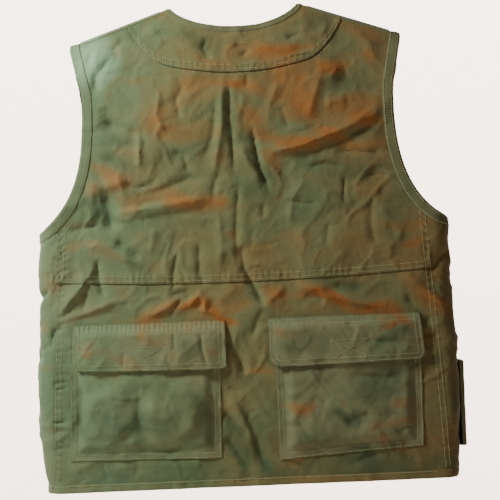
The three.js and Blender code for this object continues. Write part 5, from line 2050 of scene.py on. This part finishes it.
@dataclass
class Zip:
    """An open-ended metal zip: tapes, teeth, stops, slider, pull, box and pin."""

    pitch: float = 2.6
    tooth: tuple[float, float, float] = (3.4, 2.6, 1.5)  # out from the tape, through it, and up

    def front(self, side: int, x: Array, z: Array, out: Array) -> Array:
        """Points on a flat front, out from its outer face."""
        shell = SIDES[side]
        return shell.base(x, z) + shell.normal(x, z) * np.asarray(out)[..., None]

    def bevelled(self, name: str, size: tuple[float, float, float], bevel: float,
        segments: int = 2) -> bpy.types.Object:
        """A block with rounded edges, centred on the origin, in millimetre units.

        Args:
            name: The piece's name.
            size: Its length along each axis.
            bevel: Radius of its edges.
            segments: Facets of each edge.
        Returns:
            The object, in units of one millimetre.
        """
        deselect()
        bpy.ops.mesh.primitive_cube_add(size=1.0)
        block = bpy.context.object
        block.name = block.data.name = name
        block.data.transform(Matrix.Diagonal((*size, 1.0)))
        bpy.ops.object.mode_set(mode="EDIT")
        bpy.ops.mesh.select_all(action="SELECT")
        bpy.ops.mesh.bevel(offset=bevel, segments=segments, affect="EDGES")
        bpy.ops.object.mode_set(mode="OBJECT")
        return block

    def onto_front(self, piece: bpy.types.Object, side: int) -> None:
        """Moves a piece drawn as (x out from centre, z up, out) on to a front.

        Args:
            piece: The piece, with out along its Y axis, in millimetres.
            side: Which front.
        """
        mesh = piece.data
        co = np.array([v.co for v in mesh.vertices], float)
        placed = self.front(side, co[:, 0], co[:, 2], co[:, 1])
        mesh.vertices.foreach_set("co", metres(placed).astype(np.float32).ravel())
        recalculate(mesh)

    def build_rail(self, side: int) -> None:
        """One tape with its teeth and top stop.

        Args:
            side: Which front.
        """
        label, body = LABEL[side], f"front_{LABEL[side]}"
        x0, x1, z0, z1 = span(f"front_zip_tape_{label}")
        u, v = np.linspace(x0 + 2.0, x1, 9), np.linspace(z0, z1, 150)
        flat = SIDES[side]
        uu, vv = np.meshgrid(u, v, indexing="ij")
        points = self.front(side, uu, vv, np.full_like(uu, -1.9))
        tape = grid_piece(f"zip_tape_{label}", points, np.stack([uu, vv], -1))
        face_out(tape, points, flat.normal(uu, vv))
        apply_modifier(tape, "SOLIDIFY", thickness=0.9 * MM, offset=-1.0)
        dress(tape, Finish.TAPE)
        attach(tape, body, [f"front_zip_tape_{label}"])

        seed = self.bevelled("tooth", self.tooth, 0.35, 1)
        head = np.array([v.co for v in seed.data.vertices])
        faces = [list(f.vertices) for f in seed.data.polygons]
        bpy.data.objects.remove(seed)
        head[:, 2] *= np.where(head[:, 0] < 0, 0.72, 1.0)
        heights = np.arange(z0 + 1.0 + (0 if side > 0 else self.pitch / 2), z1 - 1.0, self.pitch)
        middle = np.array([x0 + self.tooth[0] / 2, -1.3, 0.0])
        spread = (head[None] + middle + np.stack([0 * heights, 0 * heights, heights], 1)[:, None]).reshape(-1,
            3)
        placed = self.front(side, spread[:, 0], spread[:, 2], spread[:, 1])
        mesh = bpy.data.meshes.new(f"zip_teeth_{label}")
        count = len(head)
        mesh.from_pydata(metres(placed).tolist(), [],
            [[i + k * count for i in f] for k in range(len(heights)) for f in faces])
        recalculate(mesh)
        teeth = bpy.data.objects.new(f"zip_teeth_{label}", mesh)
        bpy.context.scene.collection.objects.link(teeth)
        dress(teeth, Finish.BRASS)
        attach(teeth, body)

        _, _, foot, head = span(f"front_zip_top_stop_{label}")
        stop = self.bevelled(f"zip_stop_{label}", (3.3, 3.7, head - foot), 0.6)
        stop.data.transform(Matrix.Translation((x0 + 1.5, -1.1, (foot + head) / 2)))
        self.onto_front(stop, side)
        smooth_shade(stop, 40)
        dress(stop, Finish.BRASS)
        attach(stop, body, [f"front_zip_top_stop_{label}"])

    def build_slider(self) -> None:
        """The slider and its pull."""
        x0, x1, z0, z1 = span("zip_slider")
        middle, height = (x0 + x1) / 2, z1 - z0
        parts = []
        for out in (1.35, -3.95):  # the front and back wings
            wing = self.bevelled("wing", (x1 - x0, 1.3, height), 0.55)
            for vertex in wing.data.vertices:  # waisted towards the foot, as a slider is
                vertex.co.x *= 0.72 + 0.28 * smooth((vertex.co.z + height / 2) / height)
            wing.data.transform(Matrix.Translation((middle, out, z0 + height / 2)))
            parts.append(wing)
        wedge = self.bevelled("wedge", (1.6, 4.4, height * 0.45), 0.5)
        wedge.data.transform(Matrix.Translation((x0 + 1.0, -1.3, z0 + height * 0.72)))
        parts.append(wedge)
        deselect()
        bpy.ops.mesh.primitive_torus_add(major_radius=3.6, minor_radius=0.7, major_segments=28,
            minor_segments=10)
        bail = bpy.context.object
        bail.data.transform(Matrix.Rotation(math.pi / 2, 4, "Y"))
        bail.data.transform(Matrix.Diagonal((1.0, 0.62, 1.0, 1.0)))
        bail.data.transform(Matrix.Translation((middle, 2.5, z0 + height * 0.55)))
        parts.append(bail)
        activate(parts[0])
        for part in parts[1:]:
            part.select_set(True)
        bpy.ops.object.join()
        slider = bpy.context.object
        slider.name = slider.data.name = "zip_slider_brass"
        self.onto_front(slider, 1)
        smooth_shade(slider, 40)
        dress(slider, Finish.BRASS)
        attach(slider, "zip_slider_body", ["zip_slider"])

        near, far, z0, z1 = span("zip_pull")
        width = far - near
        plate = self.bevelled("zip_pull_plate", (width, 1.2, z1 - z0), 0.4)
        for vertex in plate.data.vertices:  # narrow at the eye, wide and round at the foot
            share = (vertex.co.z + (z1 - z0) / 2) / (z1 - z0)
            vertex.co.x *= 1.0 - 0.3 * share
        plate.data.transform(Matrix.Translation((middle, 3.3, (z0 + z1) / 2)))
        for hole_z, hole_r in ((z1 - 4.0, 1.35), (z0 + 5.0, 1.5)):
            deselect()
            bpy.ops.mesh.primitive_cylinder_add(vertices=24, radius=hole_r, depth=6.0,
                location=(middle, 3.3, hole_z), rotation=(math.pi / 2, 0, 0))
            cutter = bpy.context.object
            apply_modifier(plate, "BOOLEAN", object=cutter, operation="DIFFERENCE", solver="EXACT")
            bpy.data.objects.remove(cutter)
        self.onto_front(plate, 1)
        smooth_shade(plate, 35)
        dress(plate, Finish.BRASS)
        attach(plate, "zip_pull_body", ["zip_pull"])

    def build_foot(self) -> None:
        """The retainer box on the left and the pin on the right."""
        for node, side, bevel in (("zip_retainer_box", 1, 0.9), ("zip_pin", -1, 0.7)):
            x0, x1, z0, z1 = span(node)
            deep = 4.4 if side > 0 else 2.9
            block = self.bevelled(f"{node}_moulding", (x1 - x0, deep, z1 - z0), bevel, 3)
            block.data.transform(Matrix.Translation(((x0 + x1) / 2, -1.3, (z0 + z1) / 2)))
            self.onto_front(block, side)
            smooth_shade(block, 40)
            dress(block, Finish.ACETAL)
            attach(block, f"front_{LABEL[side]}", [node])

    def build(self) -> None:
        """Builds and dresses the zip."""
        for side in (1, -1):
            self.build_rail(side)
        self.build_slider()
        self.build_foot()


# ---- The studio ---------------------------------------------------------------------------------


@dataclass(frozen=True)
class Lamp:
    """One soft light."""

    name: str
    at: tuple[float, float, float]
    power: float
    size: float
    colour: str
    aim: tuple[float, float, float] = (0.0, 0.0, -0.28)


@dataclass
class Studio:
    """Camera, soft lights, pale surroundings and a plain floor."""

    centre: tuple[float, float] = (-0.009, -0.286)
    distance: float = 2.4
    frame_width: float = 0.685
    roll: float = 2.4
    floor: float = -1.25
    lamps: tuple[Lamp, ...] = (
        Lamp("key", (1.15, 0.68, 0.75), 49.0, 0.35, "e8fbf4", (0.15, 0.0, -0.25)),
        Lamp("fill", (-0.4, 2.6, 0.5), 6.0, 1.4, "ffe8cc"),
        Lamp("front_key", (1.35, -1.25, 0.85), 62.0, 0.45, "fdf6ec"),
        Lamp("front_fill", (-1.8, -1.8, 0.0), 22.0, 1.5, "fff4e8"),
        Lamp("floor_wash", (0.0, 0.0, -0.72), 18.0, 5.0, "fff8f0", (0.0, 0.0, -2.0)),
    )

    def build_camera(self) -> None:
        """A long lens square to the back, rolled a little."""
        camera = bpy.data.cameras.new("camera")
        camera.sensor_width = 36.0
        camera.lens = 36.0 * self.distance / self.frame_width
        eye = bpy.data.objects.new("camera", camera)
        bpy.context.scene.collection.objects.link(eye)
        turn = math.radians(self.roll)
        right = Vector((-math.cos(turn), 0.0, -math.sin(turn)))
        up = Vector((-math.sin(turn), 0.0, math.cos(turn)))
        ahead = up.cross(right)
        eye.matrix_world = Matrix((right, up, -ahead)).transposed().to_4x4()
        eye.location = (self.centre[0], _high_back.y + self.distance, self.centre[1])
        bpy.context.scene.camera = eye

    def build_lights(self) -> None:
        """The lamps and the pale surroundings."""
        for lamp in self.lamps:
            data = bpy.data.lights.new(lamp.name, "AREA")
            data.energy, data.size, data.color = lamp.power, lamp.size, linear(lamp.colour)[:3]
            light = bpy.data.objects.new(lamp.name, data)
            bpy.context.scene.collection.objects.link(light)
            light.location = lamp.at
            light.visible_camera = False
            light.rotation_euler = (Vector(lamp.aim) - Vector(lamp.at)).to_track_quat("-Z", "Y").to_euler()
        world = bpy.data.worlds.new("pale_studio")
        world.use_nodes = True
        tree = world.node_tree
        tree.nodes.clear()
        way = add_node(tree, "ShaderNodeTexCoord").outputs["Generated"]
        up = add_node(tree, "ShaderNodeSeparateXYZ", None, {"Vector": way}).outputs["Z"]
        share = add_node(tree, "ShaderNodeMapRange", None, {"Value": up, 1: -0.16, 2: 0.16, 3: 0.0, 4: 1.0})
        pale = Twill.mix(tree, share.outputs[0], linear("e6d6c6"), linear("ffefdf"))
        seen = add_node(tree, "ShaderNodeBackground", None, {"Color": pale, "Strength": 6.0})
        lit = add_node(tree, "ShaderNodeBackground", None, {"Color": linear("efe9e0"), "Strength": 0.08})
        ray = add_node(tree, "ShaderNodeLightPath").outputs["Is Camera Ray"]
        both = add_node(tree, "ShaderNodeMixShader", None, {0: ray, 1: lit.outputs[0], 2: seen.outputs[0]})
        add_node(tree, "ShaderNodeOutputWorld", None, {"Surface": both.outputs[0]})
        bpy.context.scene.world = world

    def build_floor(self) -> None:
        """A plain pale floor well below the hem."""
        deselect()
        bpy.ops.mesh.primitive_plane_add(size=7.0, location=(0.0, 0.0, 0.0))
        floor = bpy.context.object
        floor.name = floor.data.name = "floor"
        floor.data.transform(Matrix.Translation((0.0, 0.0, self.floor)))
        # matt emulsion: pale, with a faint roller texture
        paint = Plain("pale_matt_emulsion", "f3eee7", "eee8e0", 0.9, grain=60.0, bump=0.1)
        floor.data.materials.append(paint.material())

    def build(self) -> None:
        """Builds the studio."""
        self.build_camera()
        self.build_lights()
        self.build_floor()


def pockets() -> list[Pocket]:
    """Every flapped pocket on the vest.

    Returns:
        The pockets, not yet built.
    """
    left_back = Pocket(
        PocketKind.BACK, 1,
        corners=((41.0, 39.0), (248.0, 43.0), (37.0, 215.0), (243.0, 215.0)),
        base=6.0,
        domes=(Dome(106.0, 103.0, 44.0, 6.0), Dome(192.0, 106.0, 37.0, 5.0)),
        wrinkles=folds([
            (((231, 160), (229, 127), (231, 94), (222, 72), (196, 58)), -3.5, 5, 0, -0.4),
            (((150, 150), (152, 110), (148, 70)), -2.5, 6, 0, -0.3),
            (((160, 58), (125, 52), (90, 56)), -1.8, 4, 0, -0.2),
            (((140, 140), (100, 150), (66, 140)), 1.5, 5, 0, 0.1),
        ]),
        flap_wrinkles=folds([
            (((100, 216), (100, 188)), -1.6, 2.6),
            (((63, 216), (62, 190), (55, 163)), -2.6, 3.0, 0.2, -0.2),
            (((168, 190), (172, 168)), -1.4, 3.0),
            (((226, 190), (210, 186)), 0.8, 6, 0, 0.7),
            (((150, 214), (128, 205)), 0.8, 7, 0, 0.8),
            (((110, 178), (86, 182)), 0.8, 5, 0, 0.6),
        ]),
        tints=tints([(190, 88, 50, 60, 0, -0.7), (100, 100, 60, 60, 0, -0.6), (146, 80, 12, 40, 0, -0.7),
        (195, 150, 40, 12, 0, 0.3)]),
        flap_tints=tints([
            (224, 194, 16, 12, 0, 0.5), (158, 178, 26, 14, 20, 0.8), (112, 204, 16, 9, 0, 0.7),
            (48, 180, 16, 9, 0, 0.6),
            (85, 185, 14, 18, 0, -0.4), (190, 200, 16, 12, 0, -0.3),
        ]),
        flap_skew=4.0, flap_tilt=-4.0, corner=(7.0, 15.0), pucker=0.6,
    )
    right_back = Pocket(
        PocketKind.BACK, -1,
        corners=((38.0, 33.0), (236.0, 45.0), (37.0, 215.0), (238.0, 215.0)),
        base=7.5,
        wrinkles=folds([
            (((-79, 162), (-112, 108)), 1.2, 2.0),
            (((-132, 147), (-187, 140), (-222, 146)), -3.5, 7, 0, -0.5),
            (((-128, 79), (-166, 94)), -3.5, 7, 0, -0.5),
            (((-42, 82), (-69, 78), (-84, 62)), -3.2, 5, 0, -0.3),
            (((-52, 100), (-90, 105)), 2.0, 8, 0, 0.8),
            (((-104, 112), (-112, 96)), 1.0, 6, 0, 0.5),
            (((-150, 78), (-180, 56)), 2.0, 8, 0, 0.7),
            (((-190, 108), (-215, 100)), 1.5, 7, 0, 0.6),
            (((-196, 60), (-222, 76)), -3.0, 5, 0, -0.3),
        ]),
        flap_wrinkles=folds([
            (((-162, 206), (-168, 191), (-224, 187)), -3.2, 5, 0, -0.4),
            (((-134, 215), (-170, 224)), -2.0, 4, 0, -0.2),
            (((-176, 217), (-206, 213)), 1.2, 6, 0, 1.0),
            (((-60, 196), (-80, 176)), -1.2, 6, 0, -0.3),
        ]),
        tints=tints([
            (-68, 102, 28, 11, 0, 0.9), (-138, 100, 18, 9, 50, 0.8), (-192, 78, 40, 11, 10, 1.0),
            (-185, 58, 16, 8, 0, 0.8),
            (-175, 134, 55, 14, -15, -0.8), (-143, 86, 30, 11, 10, -1.0), (-68, 150, 34, 14, 0, -0.4),
            (-80, 60, 40, 10, 0, -0.7),
            (-208, 105, 24, 9, 0, 0.4), (-120, 124, 40, 9, 0, 0.3),
        ]),
        flap_tints=tints([(-205, 212, 24, 8, -15, 1.0), (-192, 194, 34, 11, -15, -1.0),
        (-80, 190, 40, 12, 0, -0.6), (-60, 214, 30, 8, 0, 0.3)]),
        flap_skew=6.0, flap_tilt=-3.0, corner=(17.0, 12.0), pucker=0.2,
    )
    fronts = []
    for side in (1, -1):
        fronts.append(Pocket(
            PocketKind.CARGO, side, margin=0.4, wall=7.0, mouth=9.5, base=17.0,
            wrinkles=folds([
                (((60, 150), (90, 110), (96, 60)), -2.6, 8, 0, -0.3),
                (((150, 140), (130, 96), (150, 60)), 2.4, 9, 0, 0.6),
                (((50, 80), (110, 74), (165, 86)), -2.0, 6, 0, -0.3),
            ]) if side > 0 else folds([
                (((-70, 160), (-84, 110), (-70, 60)), 2.4, 9, 0, 0.6),
                (((-160, 120), (-120, 90), (-60, 96)), -2.6, 7, 0, -0.4),
            ]),
            pucker=0.3,
        ))
        fronts.append(Pocket(
            PocketKind.CHEST, side, margin=0.4, wall=6.0, mouth=9.0, base=14.0,
            wrinkles=folds([
                (((50, 400), (70, 360), (60, 330)), -2.0, 6, 0, -0.3),
                (((118, 390), (100, 350), (110, 326)), 1.8, 7, 0, 0.5),
            ]) if side > 0 else folds([(((-60, 396), (-100, 360), (-112, 330)), -2.0, 7, 0, -0.3)]),
            pucker=0.3,
        ))
    return [left_back, right_back, *fronts]


def main() -> None:
    """Builds the studio and every piece of the vest in order."""
    logging.basicConfig(level=logging.INFO, format="%(name)s %(message)s")
    Studio().build()
    BackPanels().build()
    for side in (1, -1):
        SideAndFront(side).build()
    for pocket in pockets():
        pocket.build()
    SidePocket().build()
    Zip().build()


if __name__ == "__main__":
    main()
